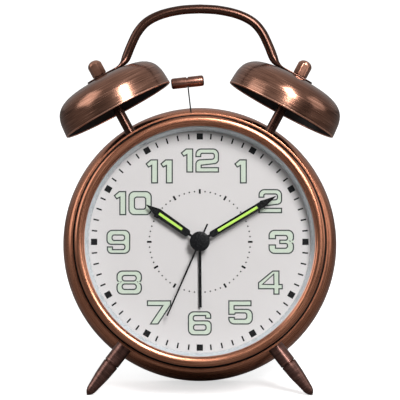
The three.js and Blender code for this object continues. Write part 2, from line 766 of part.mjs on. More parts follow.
function trainParts() {
  const phase = { second: 0, cannon: 0, alarm: 0.1 };
  const toIdler = radians(TOWARD_IDLER);
  const toThird = radians(TOWARD_THIRD);
  const toMotion = radians(TOWARD_MOTION);
  const toAlarm = radians(TOWARD_ALARM);

  const idlerPinionPhase = meshPhase(phase.second, GOING.second, GOING.idlerPinion, toIdler);
  const rotorPhase = meshPhase(0, GOING.idler, GOING.rotor, toIdler);
  const rotor = join(
    rod(2.9, 13.2, 15.4, 24),
    rod(0.35, 12.6, 17.1, 10),
    gear(GOING.rotor, GOING.rotorModule, rotorPhase, 16.1, 17),
  ).translate(rotorPlace.x, 0, rotorPlace.y);
  const idler = join(
    gear(GOING.idlerPinion, GOING.module, idlerPinionPhase, 15.1, 15.9),
    rod(0.4, 15.1, 17.1, 10),
    gear(GOING.idler, GOING.rotorModule, 0, 16.3, 16.8),
  ).translate(idlerPlace.x, 0, idlerPlace.y);
  const second = join(
    rod(0.4, -4.9, 17.1, 10),
    gear(THIRD.secondPinion, THIRD.module, 0, 13.1, 14.1),
    gear(GOING.second, GOING.module, phase.second, 15.2, 15.8),
  );
  const thirdPhase = meshPhase(0, THIRD.secondPinion, THIRD.wheel, toThird);
  const third = join(
    gear(THIRD.pinion, THIRD.backModule, 0, 11.7, 12.7),
    rod(0.35, 11, 17.1, 10),
    gear(THIRD.wheel, THIRD.module, thirdPhase, 13.3, 13.9),
  ).translate(thirdPlace.x, 0, thirdPlace.y);
  const minutePhase = meshPhase(0, THIRD.pinion, THIRD.minute, toThird + Math.PI);
  const minute = gear(THIRD.minute, THIRD.backModule, minutePhase, 11.9, 12.5, 1.4);

  const cannon = join(
    tube(1.15, 0.75, -3.7, 12.9),
    gear(MOTION.cannon, MOTION.module, phase.cannon, 9.1, 10.3, 0.95),
  );
  const motionPhase = meshPhase(phase.cannon, MOTION.cannon, MOTION.wheel, toMotion);
  const hourPhase = meshPhase(0, MOTION.pinion, MOTION.hour, toMotion + Math.PI);
  const motion = join(
    gear(MOTION.wheel, MOTION.module, motionPhase, 9.2, 10.2, 0.7),
    gear(MOTION.pinion, MOTION.module, 0, 6.6, 9.3, 0.7),
  ).translate(motionPlace.x, 0, motionPlace.y);
  const hour = join(
    tube(2.05, 1.55, -2.5, 7.8, 20),
    gear(MOTION.hour, MOTION.module, hourPhase, 7, 7.8, 1.8),
  );
  const alarm = join(
    tube(2.8, 2.35, -1.2, 5.8, 20),
    gear(ALARM_SET.wheel, ALARM_SET.module, phase.alarm, 5, 5.8, 2.55),
  );

  const settingPhase = meshPhase(motionPhase, MOTION.wheel, MOTION.setting, toMotion);
  const alarmPhase = meshPhase(phase.alarm, ALARM_SET.wheel, ALARM_SET.pinion, toAlarm);
  return [
    piece("rotor", rotor, magnet),
    piece("intermediate_wheel", idler, whitePlastic),
    piece("second_wheel", second, brass),
    piece("third_wheel", third, whitePlastic),
    piece("minute_wheel", minute, brass),
    piece("cannon_pinion", cannon, brass),
    piece("motion_wheel", motion, whitePlastic),
    piece("hour_wheel", hour, whitePlastic),
    piece("alarm_wheel", alarm, whitePlastic),
    knob("time_knob", timeShaft, 8.9, gear(MOTION.setting, MOTION.module, settingPhase, 9.1, 10.3)),
    knob("alarm_knob", alarmShaft, 4.5, gear(ALARM_SET.pinion, ALARM_SET.module, alarmPhase, 4.7, 6.1)),
  ];
}

// ---------------------------------------------------------------- hammer

function hammerParts() {
  const { pivotZ, reach, restAngle, headLength, headRadius, wireRadius, crankZ, leverThickness } = HAMMER;
  const y0 = PLANE_Y - leverThickness / 2;
  const y1 = PLANE_Y + leverThickness / 2;
  const lean = (geometry) =>
    geometry.translate(0, 0, -pivotZ).rotateY(radians(restAngle)).translate(0, 0, pivotZ);
  const upright = (radius, z0, z1) => rod(radius, z0, z1, 10).rotateX(Math.PI / 2).translate(0, PLANE_Y, 0);

  // the crank's pin turns inside the window of this frame
  const window = box(-3.3, 3.3, 0, 20, crankZ - 3.3, crankZ + 3.3);
  const frame = cut(box(-4.8, 4.8, y0, y1, crankZ - 4.8, crankZ + 4.8), window);
  const boss = rod(2.8, PLANE_Y - 1.8, PLANE_Y + 1.8, 20).translate(0, 0, pivotZ);
  const arms = [box(-1.6, 1.6, y0, y1, pivotZ, crankZ - 4), box(-1.6, 1.6, y0, y1, crankZ + 4, 43)];
  const bore = rod(1.3, 0, 20, 16).translate(0, 0, pivotZ);
  const lever = cut(join(boss, ...arms, frame), bore, upright(wireRadius + GAP, 39, 44));
  const wire = upright(wireRadius, 39.4, pivotZ + reach + 1.2);
  const half = headLength / 2;
  const groove = headRadius - 0.3;
  const side = [
    [headRadius - 0.5, half],
    [headRadius, half - 0.5],
    [headRadius, 0.6],
    [groove, 0.4],
  ];
  const mirrored = side.map(([r, y]) => [r, -y]).reverse();
  const head = turned([[0, half], ...side, ...mirrored, [0, -half]], 14)
    .rotateZ(Math.PI / 2)
    .translate(0, PLANE_Y, pivotZ + reach);
  const socket = upright(wireRadius + GAP, pivotZ + reach - 5, pivotZ + reach + 1.5);
  return [
    piece("hammer_lever", lean(lever), blackPlastic),
    piece("hammer_wire", lean(wire), steel),
    piece("hammer_head", lean(cut(head, socket)), darkCopper),
  ];
}

function hammerDrive() {
  const { pivotZ, crankZ, crankOffset } = HAMMER;
  const base = HOUSING.top + GAP;
  const bracket = cut(
    sheet([[-13, base], [13, base], [13, 36], [9, 44], [-9, 44], [-13, 36]], 10.7, 11.5),
    rod(1.3, 5, 15, 12).translate(0, 0, pivotZ),
    rod(1.4, 5, 15, 12).translate(0, 0, crankZ),
  );
  const pin = turned([[0, 3.8], [2, 3.8], [2, 4.7], [1, 4.7], [1, 12.4], [0, 12.4]], 16);
  pin.translate(0, 0, pivotZ);
  const can = [...arc(0, crankZ, 7.5, -53, 53, 8), ...arc(0, crankZ, 7.5, 127, 233, 8)];
  const motor = cut(sheet(can, 11.8, 29.8), rod(0.9, 11, 15, 12).translate(0, 0, crankZ));
  const crank = join(
    rod(2, 9.2, 10.2, 16),
    rod(0.5, 5.7, 9.4, 10).translate(-crankOffset, 0, 0),
    rod(0.5, 10, 14.6, 10),
  ).translate(0, 0, crankZ);
  return [
    piece("hammer_bracket", bracket, steel),
    piece("hammer_pivot_pin", pin, steel),
    piece("alarm_motor", motor, steel),
    piece("striker_crank", crank, whitePlastic),
  ];
}

// ---------------------------------------------------------------- assembly

clock.add(caseDrum(), bezel(), bezelSeal(), lens(), dialFlange(), dial());
clock.add(backCover(), ...SCREW.angles.map(backScrew), batteryDoor(), alarmSwitch());
clock.add(...BATTERY.z.map(battery));
clock.add(batteryContact("left", -1, BATTERY.z[0]), batteryContact("right", 1, BATTERY.z[1]));
clock.add(...SIDES.flatMap(legParts), ...SIDES.flatMap(bellParts), handle());
clock.add(movementFront(), movementRear(), circuitBoard(), coil(), stator());
clock.add(...trainParts(), ...hammerDrive(), ...hammerParts());
clock.add(...Object.keys(HANDS).map(hand));

// The clock stands on the table with the middle of its footprint at the origin.
const extent = new THREE.Box3().setFromObject(clock, true);
clock.position.y -= (extent.min.y + extent.max.y) / 2;

const alarmClock = new THREE.Group();
alarmClock.add(clock);
export default alarmClock;
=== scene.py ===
"""The looks of a twin-bell alarm clock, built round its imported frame.

Pieces are drawn in millimetres in the clock's own frame: its origin is the centre of the dial's face,
+X is to the right of the dial, +Y runs back through the case and +Z is up. The frame's hand joint says
where that frame stands in the row frame, and each piece's mesh is moved there.
"""

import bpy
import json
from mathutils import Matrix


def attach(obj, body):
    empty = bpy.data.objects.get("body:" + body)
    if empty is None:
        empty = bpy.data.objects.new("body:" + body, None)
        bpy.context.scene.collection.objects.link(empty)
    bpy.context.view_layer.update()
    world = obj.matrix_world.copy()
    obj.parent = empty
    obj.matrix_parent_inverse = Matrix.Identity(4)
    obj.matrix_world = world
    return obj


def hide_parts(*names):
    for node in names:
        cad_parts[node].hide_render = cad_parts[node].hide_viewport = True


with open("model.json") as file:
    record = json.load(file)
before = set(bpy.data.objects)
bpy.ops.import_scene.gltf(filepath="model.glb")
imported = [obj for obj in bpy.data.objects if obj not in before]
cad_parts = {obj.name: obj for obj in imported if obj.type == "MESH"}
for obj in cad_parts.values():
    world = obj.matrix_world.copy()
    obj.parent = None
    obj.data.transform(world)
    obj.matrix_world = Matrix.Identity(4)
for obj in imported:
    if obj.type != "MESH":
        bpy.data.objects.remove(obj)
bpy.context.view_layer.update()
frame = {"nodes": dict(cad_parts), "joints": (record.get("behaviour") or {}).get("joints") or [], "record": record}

import json
import logging
import math
from collections.abc import Iterable, Sequence
from dataclasses import dataclass, field
from enum import Enum
from functools import lru_cache

import bmesh
import bpy
from mathutils import Matrix, Vector
from mathutils.geometry import tessellate_polygon

log = logging.getLogger("alarm_clock")

MM = 0.001
TURN = 2 * math.pi
SMOOTH = 160  # segments round a large turned piece
SMALL = 64  # segments round a small turned piece
SIDES = {"left": -1, "right": 1}

Colour = tuple[float, float, float]
Profile = list[tuple[float, float]]
Corners = list[tuple[float, ...]]
Mesh = bmesh.types.BMesh
Socket = bpy.types.NodeSocket


# ---------------------------------------------------------------- places


class Place(Enum):
    """The nodes that show where an axis runs: one near its start, one further out."""

    LEFT_BELL = ("post_nut_left", "bell_washer_left")
    RIGHT_BELL = ("post_nut_right", "bell_washer_right")
    LEFT_LEG = ("leg_nut_left", "leg_stem_left")
    RIGHT_LEG = ("leg_nut_right", "leg_stem_right")


def clock_matrix() -> Matrix:
    """Where the clock's own frame stands, from the joint that the minute hand turns on.

    Returns:
        The matrix that takes millimetres in the clock's frame to metres in the row frame.
    """
    joint = next(j for j in frame["joints"] if j["name"] == "minute_spin")
    back = Vector(joint["axis"]).normalized()
    right = Vector((1, 0, 0))
    up = right.cross(back)
    turn = Matrix((right, back, up)).transposed().to_4x4()
    return Matrix.Translation(Vector(joint["pos_m"])) @ turn @ Matrix.Scale(MM, 4)


CLOCK = clock_matrix()
INTO_CLOCK = CLOCK.inverted()


def joint_place(name: str) -> Vector:
    """Where a joint's axis passes, in millimetres in the clock's frame.

    Args:
        name: The joint's name.

    Returns:
        The point that the frame gives for the joint.
    """
    joint = next(j for j in frame["joints"] if j["name"] == name)
    return INTO_CLOCK @ Vector(joint["pos_m"])


def points_of(node: str) -> list[Vector]:
    """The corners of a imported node, in millimetres in the clock's frame.

    Args:
        node: The node's name.

    Returns:
        One vector for each corner of its mesh.
    """
    return [INTO_CLOCK @ vertex.co for vertex in frame["nodes"][node].data.vertices]


def box_of(node: str) -> tuple[Vector, Vector]:
    """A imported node's box in the clock's frame, in millimetres.

    Args:
        node: The node's name.

    Returns:
        The box's lowest and highest corners.
    """
    points = points_of(node)
    low = Vector([min(p[i] for p in points) for i in range(3)])
    high = Vector([max(p[i] for p in points) for i in range(3)])
    return low, high


def middle_of(node: str) -> Vector:
    """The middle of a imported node's box in the clock's frame, in millimetres."""
    low, high = box_of(node)
    return (low + high) / 2


@dataclass(frozen=True)
class Span:
    """How far a node reaches along an axis and out from it, in millimetres."""

    low: float
    high: float
    radius: float

    @property
    def length(self) -> float:
        """The reach along the axis."""
        return self.high - self.low


@dataclass(frozen=True)
class Axis:
    """A line in the clock's frame that turned pieces are built about."""

    origin: Vector
    along: Vector

    @classmethod
    def through(cls, place: Place) -> "Axis":
        """The axis that runs through the middles of two nodes.

        Args:
            place: The pair of nodes.

        Returns:
            The axis, with its origin on it at the first node.
        """
        near, far = (middle_of(node) for node in place.value)
        return cls(near, (far - near).normalized())

    def span(self, node: str) -> Span:
        """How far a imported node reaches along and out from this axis.

        Args:
            node: The node's name.

        Returns:
            The node's span.
        """
        offsets = [p - self.origin for p in points_of(node)]
        heights = [offset.dot(self.along) for offset in offsets]
        radii = [(offset - self.along * h).length for offset, h in zip(offsets, heights)]
        return Span(min(heights), max(heights), max(radii))

    @property
    def matrix(self) -> Matrix:
        """Takes a piece drawn about +Y, standing on the origin, to this axis.

        Returns:
            The matrix, in millimetres in the clock's frame.
        """
        front = Vector((0, -1, 0)) if abs(self.along.y) < 0.9 else Vector((0, 0, 1))
        side = front.cross(self.along).normalized()
        turn = Matrix((side, self.along, side.cross(self.along))).transposed().to_4x4()
        return Matrix.Translation(self.origin) @ turn


HUB = Axis(Vector((0, 0, 0)), Vector((0, 1, 0)))


# ---------------------------------------------------------------- finishes


class Shader:
    """A node material under construction, with its Principled shader."""

    def __init__(self, name: str) -> None:
        """Starts an empty material.

        Args:
            name: The material's name.
        """
        self.material = bpy.data.materials.new(name)
        self.material.use_nodes = True
        self.tree = self.material.node_tree
        self.tree.nodes.clear()
        output = self.tree.nodes.new("ShaderNodeOutputMaterial")
        self.surface = self.tree.nodes.new("ShaderNodeBsdfPrincipled")
        self.tree.links.new(self.surface.outputs[0], output.inputs[0])

    def set(self, **values: float | Sequence[float]) -> None:
        """Sets uniform values on the shader's own sockets.

        Args:
            values: Socket names, with _ for each space, and their values.
        """
        for name, value in values.items():
            socket = self.surface.inputs[name.replace("_", " ")]
            socket.default_value = (*value, 1) if isinstance(value, tuple) else value

    def node(self, kind: str, **settings: object) -> bpy.types.Node:
        """Adds a node.

        Args:
            kind: The node's type, without its ShaderNode prefix.
            settings: Attributes to set on it.

        Returns:
            The new node.
        """
        made = self.tree.nodes.new("ShaderNode" + kind)
        for name, value in settings.items():
            setattr(made, name, value)
        return made

    def link(self, source: Socket, target: Socket | str) -> None:
        """Joins two sockets; a name stands for a socket of the Principled shader."""
        end = self.surface.inputs[target] if isinstance(target, str) else target
        self.tree.links.new(source, end)

    def coordinates(self, scale: Sequence[float], grain: bool = False) -> Socket:
        """Coordinates for a texture: the piece's grain, or its place in metres.

        Args:
            scale: How many units of the texture there are to one of the coordinate.
            grain: True for the grain that turned and swept pieces carry.

        Returns:
            The scaled vector.
        """
        if grain:
            source = self.node("Attribute", attribute_name="grain").outputs["Vector"]
        else:
            source = self.node("TexCoord").outputs["Object"]
        mapping = self.node("Mapping")
        mapping.inputs["Scale"].default_value = scale
        self.link(source, mapping.inputs["Vector"])
        return mapping.outputs[0]

    def noise(self, vector: Socket, detail: float = 3, roughness: float = 0.55) -> Socket:
        """A noise texture over a vector.

        Args:
            vector: Where it is read.
            detail: How many finer layers it has.
            roughness: How strong the finer layers are.

        Returns:
            Its value, from 0 to 1.
        """
        texture = self.node("TexNoise")
        texture.inputs["Scale"].default_value = 1
        texture.inputs["Detail"].default_value = detail
        texture.inputs["Roughness"].default_value = roughness
        self.link(vector, texture.inputs["Vector"])
        return texture.outputs[0]

    def ramp(self, value: Socket, stops: Sequence[tuple[float, Colour]]) -> Socket:
        """Turns a value into a colour.

        Args:
            value: The value, from 0 to 1.
            stops: Positions and colours, in rising order.

        Returns:
            The colour.
        """
        ramp = self.node("ValToRGB").color_ramp
        node = self.tree.nodes[-1]
        while len(ramp.elements) < len(stops):
            ramp.elements.new(1)
        for element, (position, colour) in zip(ramp.elements, stops):
            element.position = position
            element.color = (*colour, 1)
        self.link(value, node.inputs[0])
        return node.outputs[0]

    def spread(self, value: Socket, low: float, high: float) -> Socket:
        """Maps the middle of a noise to a range.

        Args:
            value: A noise, mostly from 0.3 to 0.7.
            low: What 0.3 becomes.
            high: What 0.7 becomes.

        Returns:
            The mapped value.
        """
        node = self.node("MapRange")
        for index, number in enumerate((0.3, 0.7, low, high), start=1):
            node.inputs[index].default_value = number
        self.link(value, node.inputs[0])
        return node.outputs[0]

    def multiply(self, first: Socket, second: Socket, share: float) -> Socket:
        """Multiplies a colour by another.

        Args:
            first: The colour.
            second: What it is multiplied by.
            share: How much of that is applied, from 0 to 1.

        Returns:
            The product.
        """
        mix = self.node("Mix", data_type="RGBA", blend_type="MULTIPLY")
        mix.inputs[0].default_value = share
        self.link(first, mix.inputs[6])
        self.link(second, mix.inputs[7])
        return mix.outputs[2]

    def bump(self, height: Socket, depth: float, strength: float = 1) -> None:
        """Raises the surface by a height.

        Args:
            height: The height, from 0 to 1.
            depth: How high 1 is, in metres.
            strength: How much of the slope shows.
        """
        node = self.node("Bump")
        node.inputs["Strength"].default_value = strength
        node.inputs["Distance"].default_value = depth
        self.link(height, node.inputs["Height"])
        self.link(node.outputs[0], "Normal")


@dataclass(frozen=True)
class Finish:
    """A surface finish, which makes its own material."""

    name: str

    def build(self) -> bpy.types.Material:
        """Makes the material.

        Returns:
            The new material.
        """
        raise NotImplementedError


@lru_cache(maxsize=None)
def material_of(finish: Finish) -> bpy.types.Material:
    """The one material that a finish makes, built when it is first asked for."""
    return finish.build()


@dataclass(frozen=True)
class AntiqueCopper(Finish):
    """Copper plate brushed along its grain, with dark patina left in the grooves."""

    dark: Colour
    middle: Colour
    bright: Colour
    streak: float = 9.0
    reach: float = 2.2
    roughness: tuple[float, float] = (0.24, 0.38)
    depth: float = 0.000012
    patina: float = 0.35

    def build(self) -> bpy.types.Material:
        """Makes the material.

        Returns:
            The new material.
        """
        shader = Shader(self.name)
        grain = shader.coordinates((self.streak, self.reach, self.reach), grain=True)
        fine = shader.noise(grain, detail=5, roughness=0.62)
        colour = shader.ramp(fine, ((0.3, self.dark), (0.5, self.middle), (0.72, self.bright)))
        cloud = shader.noise(shader.coordinates((46, 46, 46)), detail=4)
        shade = shader.ramp(cloud, ((0.3, (0.38, 0.34, 0.32)), (0.62, (1, 1, 1))))
        shader.link(shader.multiply(colour, shade, self.patina), "Base Color")
        shader.link(shader.spread(fine, *self.roughness), "Roughness")
        shader.bump(fine, self.depth)
        shader.set(Metallic=1.0, Coat_Weight=0.12, Coat_Roughness=0.12)
        return shader.material


@dataclass(frozen=True)
class Metal(Finish):
    """Plain metal with faint working marks."""

    colour: Colour
    roughness: float = 0.3
    marks: float = 900.0

    def build(self) -> bpy.types.Material:
        """Makes the material.

        Returns:
            The new material.
        """
        shader = Shader(self.name)
        marks = shader.noise(shader.coordinates((self.marks, self.marks, self.marks * 0.2)), detail=4)
        duller = tuple(c * 0.7 for c in self.colour)
        shader.link(shader.ramp(marks, ((0.3, duller), (0.65, self.colour))), "Base Color")
        shader.link(shader.spread(marks, self.roughness - 0.06, self.roughness + 0.1), "Roughness")
        shader.bump(marks, 0.000008)
        shader.set(Metallic=1.0)
        return shader.material


@dataclass(frozen=True)
class Moulding(Finish):
    """Moulded plastic, rubber or paint, with a fine texture."""

    colour: Colour
    roughness: float = 0.5
    texture: float = 2600.0
    depth: float = 0.00002
    coat: float = 0.0
    variation: float = 0.12
    specular: float = 0.5

    def build(self) -> bpy.types.Material:
        """Makes the material.

        Returns:
            The new material.
        """
        shader = Shader(self.name)
        fine = shader.noise(shader.coordinates((self.texture,) * 3), detail=2)
        broad = shader.noise(shader.coordinates((70, 70, 70)), detail=2)
        low = tuple(c * (1 - self.variation) for c in self.colour)
        shader.link(shader.ramp(broad, ((0.3, low), (0.7, self.colour))), "Base Color")
        shader.link(shader.spread(fine, self.roughness - 0.05, self.roughness + 0.08), "Roughness")
        shader.bump(fine, self.depth, 0.6)
        shader.set(Coat_Weight=self.coat, Coat_Roughness=0.06, Specular_IOR_Level=self.specular)
        return shader.material


@dataclass(frozen=True)
class Lume(Finish):
    """Luminous paint: matt, a little grainy, and bright for its colour through a painted glow, an emission on a
    part that is no lamp.
    """

    colour: Colour
    glow: float = 0.0

    def build(self) -> bpy.types.Material:
        """Makes the material.

        Returns:
            The new material.
        """
        shader = Shader(self.name)
        grains = shader.noise(shader.coordinates((5200,) * 3), detail=3)
        duller = tuple(c * 0.9 for c in self.colour)
        shader.link(shader.ramp(grains, ((0.35, duller), (0.65, self.colour))), "Base Color")
        shader.link(shader.spread(grains, 0.6, 0.8), "Roughness")
        shader.bump(grains, 0.00002, 0.5)
        # the emission is a painted glow that brightens the lume
        shader.set(Emission_Color=self.colour, Emission_Strength=self.glow)
        return shader.material


@dataclass(frozen=True)
class ClearLens(Finish):
    """A thin clear lens, which shows as glass where it is seen at a slant."""

    def build(self) -> bpy.types.Material:
        """Makes the material.

        Returns:
            The new material.
        """
        shader = Shader(self.name)
        slant = shader.node("LayerWeight")
        slant.inputs["Blend"].default_value = 0.25
        node = shader.node("MapRange")
        for index, number in enumerate((0.0, 1.0, 0.03, 0.6), start=1):
            node.inputs[index].default_value = number
        shader.link(slant.outputs["Fresnel"], node.inputs[0])
        shader.link(node.outputs[0], "Alpha")
        haze = shader.noise(shader.coordinates((160, 160, 160)), detail=2)
        shader.link(shader.spread(haze, 0.02, 0.06), "Roughness")
        shader.set(Base_Color=(0.03, 0.034, 0.035), Specular_IOR_Level=0.5)
        return shader.material


CASE_COPPER = AntiqueCopper(
    "copper_case", (0.2, 0.062, 0.032), (0.5, 0.2, 0.115), (0.74, 0.37, 0.24),
    streak=6.5, roughness=(0.2, 0.32), patina=0.22)
BELL_COPPER = AntiqueCopper(
    "copper_bell", (0.13, 0.058, 0.037), (0.32, 0.155, 0.105), (0.54, 0.29, 0.21),
    streak=3.6, reach=1.6, roughness=(0.17, 0.28), patina=0.5, depth=0.000014)
# a brighter copy of the copper for the bezel's lip and the bells' rolled rims: a painted highlight on edges that
# catch the light
RIM_HIGHLIGHT_COPPER = AntiqueCopper(
    "copper_rim_painted_highlight", (0.5, 0.22, 0.14), (0.72, 0.38, 0.27), (0.9, 0.56, 0.43), streak=5, patina=0.1)
DARK_COPPER = AntiqueCopper(
    "dark_copper", (0.036, 0.016, 0.011), (0.088, 0.04, 0.028), (0.18, 0.088, 0.063),
    streak=2.6, reach=0.7, roughness=(0.2, 0.32), patina=0.5, depth=0.000006)
LEG_COPPER = AntiqueCopper(
    "leg_copper", (0.07, 0.034, 0.028), (0.17, 0.085, 0.07), (0.3, 0.16, 0.13),
    streak=3.2, reach=0.7, roughness=(0.26, 0.38), patina=0.5, depth=0.000008)
NUT_COPPER = AntiqueCopper(
    "nut_copper", (0.32, 0.14, 0.09), (0.43, 0.21, 0.145), (0.54, 0.28, 0.2),
    streak=0.25, reach=0.3, roughness=(0.27, 0.31), patina=0.1, depth=0.000001)
HAMMER_COPPER = AntiqueCopper(
    "hammer_copper", (0.19, 0.088, 0.064), (0.26, 0.125, 0.092), (0.35, 0.18, 0.135),
    streak=0.3, reach=0.3, roughness=(0.27, 0.31), patina=0.1, depth=0.000001)
# near-black inside of the bells: painted shade in the hollow under each dome
BELL_INSIDE_SHADE = Moulding("bell_inside_painted_shade", (0.012, 0.011, 0.011), 0.45, variation=0.3)
DRUM_INSIDE = Metal("drum_inside", (0.3, 0.12, 0.07), 0.45)
STEEL = Metal("bright_steel", (0.6, 0.61, 0.62), 0.28)
DARK_STEEL = Metal("spring_wire", (0.03, 0.028, 0.028), 0.4)
BRASS = Metal("turned_brass", (0.72, 0.5, 0.2), 0.3)
MAGNET = Metal("sintered_magnet", (0.08, 0.08, 0.085), 0.5)
WINDING = Metal("coil_winding", (0.5, 0.2, 0.07), 0.4, marks=2400)
CELL_WRAP = Metal("cell_wrap", (0.2, 0.22, 0.25), 0.32, marks=300)
CELL_BAND = Metal("cell_band", (0.55, 0.3, 0.12), 0.3, marks=300)
BLACK_PLASTIC = Moulding("black_plastic", (0.03, 0.03, 0.032), 0.45)
WHITE_PLASTIC = Moulding("white_plastic", (0.68, 0.66, 0.62), 0.5, variation=0.05)
GREY_RING = Moulding("grey_ring", (0.7, 0.76, 0.8), 0.24, texture=900, depth=0.000008, coat=0.5)
DIAL_PAINT = Moulding(
    "dial_paint", (0.74, 0.715, 0.712), 0.6, texture=5000, depth=0.000008, variation=0.02, specular=0.2)
INK = Moulding("dial_ink", (0.008, 0.008, 0.009), 0.6, variation=0.2, specular=0.15)
OUTLINE_INK = Moulding("outline_ink", (0.05, 0.062, 0.06), 0.6, variation=0.2, specular=0.2)
# the numerals' and the hands' lume carry a painted glow, the hands' stronger
NUMERAL_LUME = Lume("numeral_lume", (0.67, 0.76, 0.64), 0.01)
HAND_LUME = Lume("hand_lume", (0.54, 0.86, 0.13), 0.1)
HAND_PAINT = Moulding("hand_paint", (0.004, 0.004, 0.005), 0.24, texture=1500, depth=0.000006, specular=0.3)
RUBBER = Moulding("black_rubber", (0.006, 0.006, 0.006), 0.8, specular=0.15)
BOARD = Moulding("circuit_board", (0.03, 0.13, 0.06), 0.45, texture=900)
LENS = ClearLens("lens_glass")


# ---------------------------------------------------------------- mesh helpers


def arc(centre: tuple[float, float], radius: float, start: float, end: float, steps: int) -> Profile:
    """Points on an arc.

    Args:
        centre: Its centre.
        radius: Its radius.
        start: The first angle, in degrees.
        end: The last angle, in degrees.
        steps: How many steps it is drawn in.

    Returns:
        The points.
    """
    angles = [math.radians(start + (end - start) * i / steps) for i in range(steps + 1)]
    return [(centre[0] + radius * math.cos(a), centre[1] + radius * math.sin(a)) for a in angles]


def smooth_line(points: Sequence[Sequence[float]], steps: int = 6) -> list[tuple[float, ...]]:
    """A Catmull-Rom curve through points of any number of values.

    Args:
        points: The points that it passes.
        steps: How many steps there are between two of them.

    Returns:
        The points on the curve, the ends included.
    """
    line = []
    last = len(points) - 1
    for i in range(last):
        before, here, there, after = (points[min(max(i + k, 0), last)] for k in (-1, 0, 1, 2))
        for step in range(steps):
            t = step / steps
            weights = (
                -0.5 * t + t * t - 0.5 * t**3,
                1 - 2.5 * t * t + 1.5 * t**3,
                0.5 * t + 2 * t * t - 1.5 * t**3,
                -0.5 * t * t + 0.5 * t**3,
            )
            knots = zip(before, here, there, after)
            line.append(tuple(sum(w * v for w, v in zip(weights, values)) for values in knots))
    line.append(tuple(points[-1]))
    return line


def lathe(profile: Profile, segments: int = SMOOTH, paint: Sequence[int] = ()) -> Mesh:
    """A turned solid about +Y.

    Args:
        profile: Radius and height; it starts and ends on the axis, or goes round a hollow.
        segments: How many steps there are round it.
        paint: The material number of each band of the profile, 0 past the list's end.

    Returns:
        The closed mesh, with its grain running round.
    """
    mesh = bmesh.new()
    grain = mesh.verts.layers.float_vector.new("grain")
    closed = profile[0][0] > 0 and profile[-1][0] > 0
    rings = []
    run = 0.0
    for index, (radius, height) in enumerate(profile):
        run += math.dist(profile[index - 1], (radius, height)) if index else 0.0
        count = segments if radius > 0 else 1
        ring = []
        for i in range(count):
            c, s = math.cos(TURN * i / segments), math.sin(TURN * i / segments)
            vertex = mesh.verts.new((radius * c, height, radius * s))
            vertex[grain] = (run, c, s)
            ring.append(vertex)
        rings.append(ring)
    following = rings[1:] + ([rings[0]] if closed else [])
    for band, (first, second) in enumerate(zip(rings, following)):
        for i in range(segments):
            j = (i + 1) % segments
            ring = [row[k % len(row)] for row, k in ((first, i), (first, j), (second, j), (second, i))]
            corners = list(dict.fromkeys(ring))
            if len(corners) > 2:
                mesh.faces.new(corners).material_index = paint[band] if band < len(paint) else 0
    bmesh.ops.recalc_face_normals(mesh, faces=mesh.faces)
    return mesh


def rounded(corners: Sequence[tuple[float, ...]], steps: int = 5) -> Profile:
    """A closed outline with some of its corners rounded.

    Args:
        corners: Each corner, and a third value for its radius where it is rounded.
        steps: How many steps there are in each round.

    Returns:
        The outline's points.
    """
    outline = []
    count = len(corners)
    for i, corner in enumerate(corners):
        here = Vector(corner[:2])
        if len(corner) < 3:
            outline.append(tuple(here))
            continue
        before = (Vector(corners[i - 1][:2]) - here).normalized()
        after = (Vector(corners[(i + 1) % count][:2]) - here).normalized()
        half = before.angle(after) / 2
        start = here + before * corner[2] / math.tan(half)
        end = here + after * corner[2] / math.tan(half)
        centre = here + (before + after).normalized() * corner[2] / math.sin(half)
        for step in range(steps + 1):
            toward = (start - centre).lerp(end - centre, step / steps).normalized()
            outline.append(tuple(centre + toward * corner[2]))
    return outline


def widened(outline: Profile, amount: float) -> Profile:
    """An outline moved outward, or inward by a negative amount, all the way round.

    Args:
        outline: A closed outline, drawn anticlockwise.
        amount: How far it moves.

    Returns:
        The moved outline.
    """
    moved = []
    count = len(outline)
    for i, point in enumerate(outline):
        here = Vector(point)
        into = (here - Vector(outline[i - 1])).normalized()
        away = (Vector(outline[(i + 1) % count]) - here).normalized()
        normal = (into + away).normalized()
        normal = Vector((normal.y, -normal.x))
        square = Vector((into.y, -into.x))
        moved.append(tuple(here + normal * amount / max(normal.dot(square), 0.5)))
    return moved


def turned_way(outline: Profile, anticlockwise: bool) -> Profile:
    """An outline in the asked direction."""
    area = sum(a[0] * b[1] - b[0] * a[1] for a, b in zip(outline, outline[1:] + outline[:1]))
    return outline if (area > 0) == anticlockwise else outline[::-1]


def plate(outlines: Sequence[Profile], front: float, back: float, bevel: float = 0.0) -> Mesh:
    """A flat solid in X and Z with a thickness along Y.

    Args:
        outlines: The outer outline, then any holes.
        front: Its front face's Y.
        back: Its back face's Y.
        bevel: The width of the chamfer round its front, outer edge.

    Returns:
        The closed mesh.
    """
    loops = [turned_way(list(outline), index == 0) for index, outline in enumerate(outlines)]
    levels = [(loops, back), (loops, front)]
    if bevel:
        inset = [widened(loop, -bevel) for loop in loops]
        levels = [(loops, back), (loops, front + math.copysign(bevel, back - front)), (inset, front)]
    mesh = bmesh.new()
    grain = mesh.verts.layers.float_vector.new("grain")
    rows = []
    for shapes, y in levels:
        row = [[mesh.verts.new((x, y, z)) for x, z in loop] for loop in shapes]
        rows.append(row)
        for vertex in (v for ring in row for v in ring):
            vertex[grain] = vertex.co
    for low, high in zip(rows, rows[1:]):
        for ring, other in zip(low, high):
            for i in range(len(ring)):
                j = (i + 1) % len(ring)
                mesh.faces.new((ring[i], ring[j], other[j], other[i]))
    for row, (shapes, _) in ((rows[0], levels[0]), (rows[-1], levels[-1])):
        flat = [vertex for ring in row for vertex in ring]
        for triangle in tessellate_polygon([[Vector((x, z, 0)) for x, z in loop] for loop in shapes]):
            mesh.faces.new([flat[i] for i in triangle])
    bmesh.ops.recalc_face_normals(mesh, faces=mesh.faces)
    return mesh


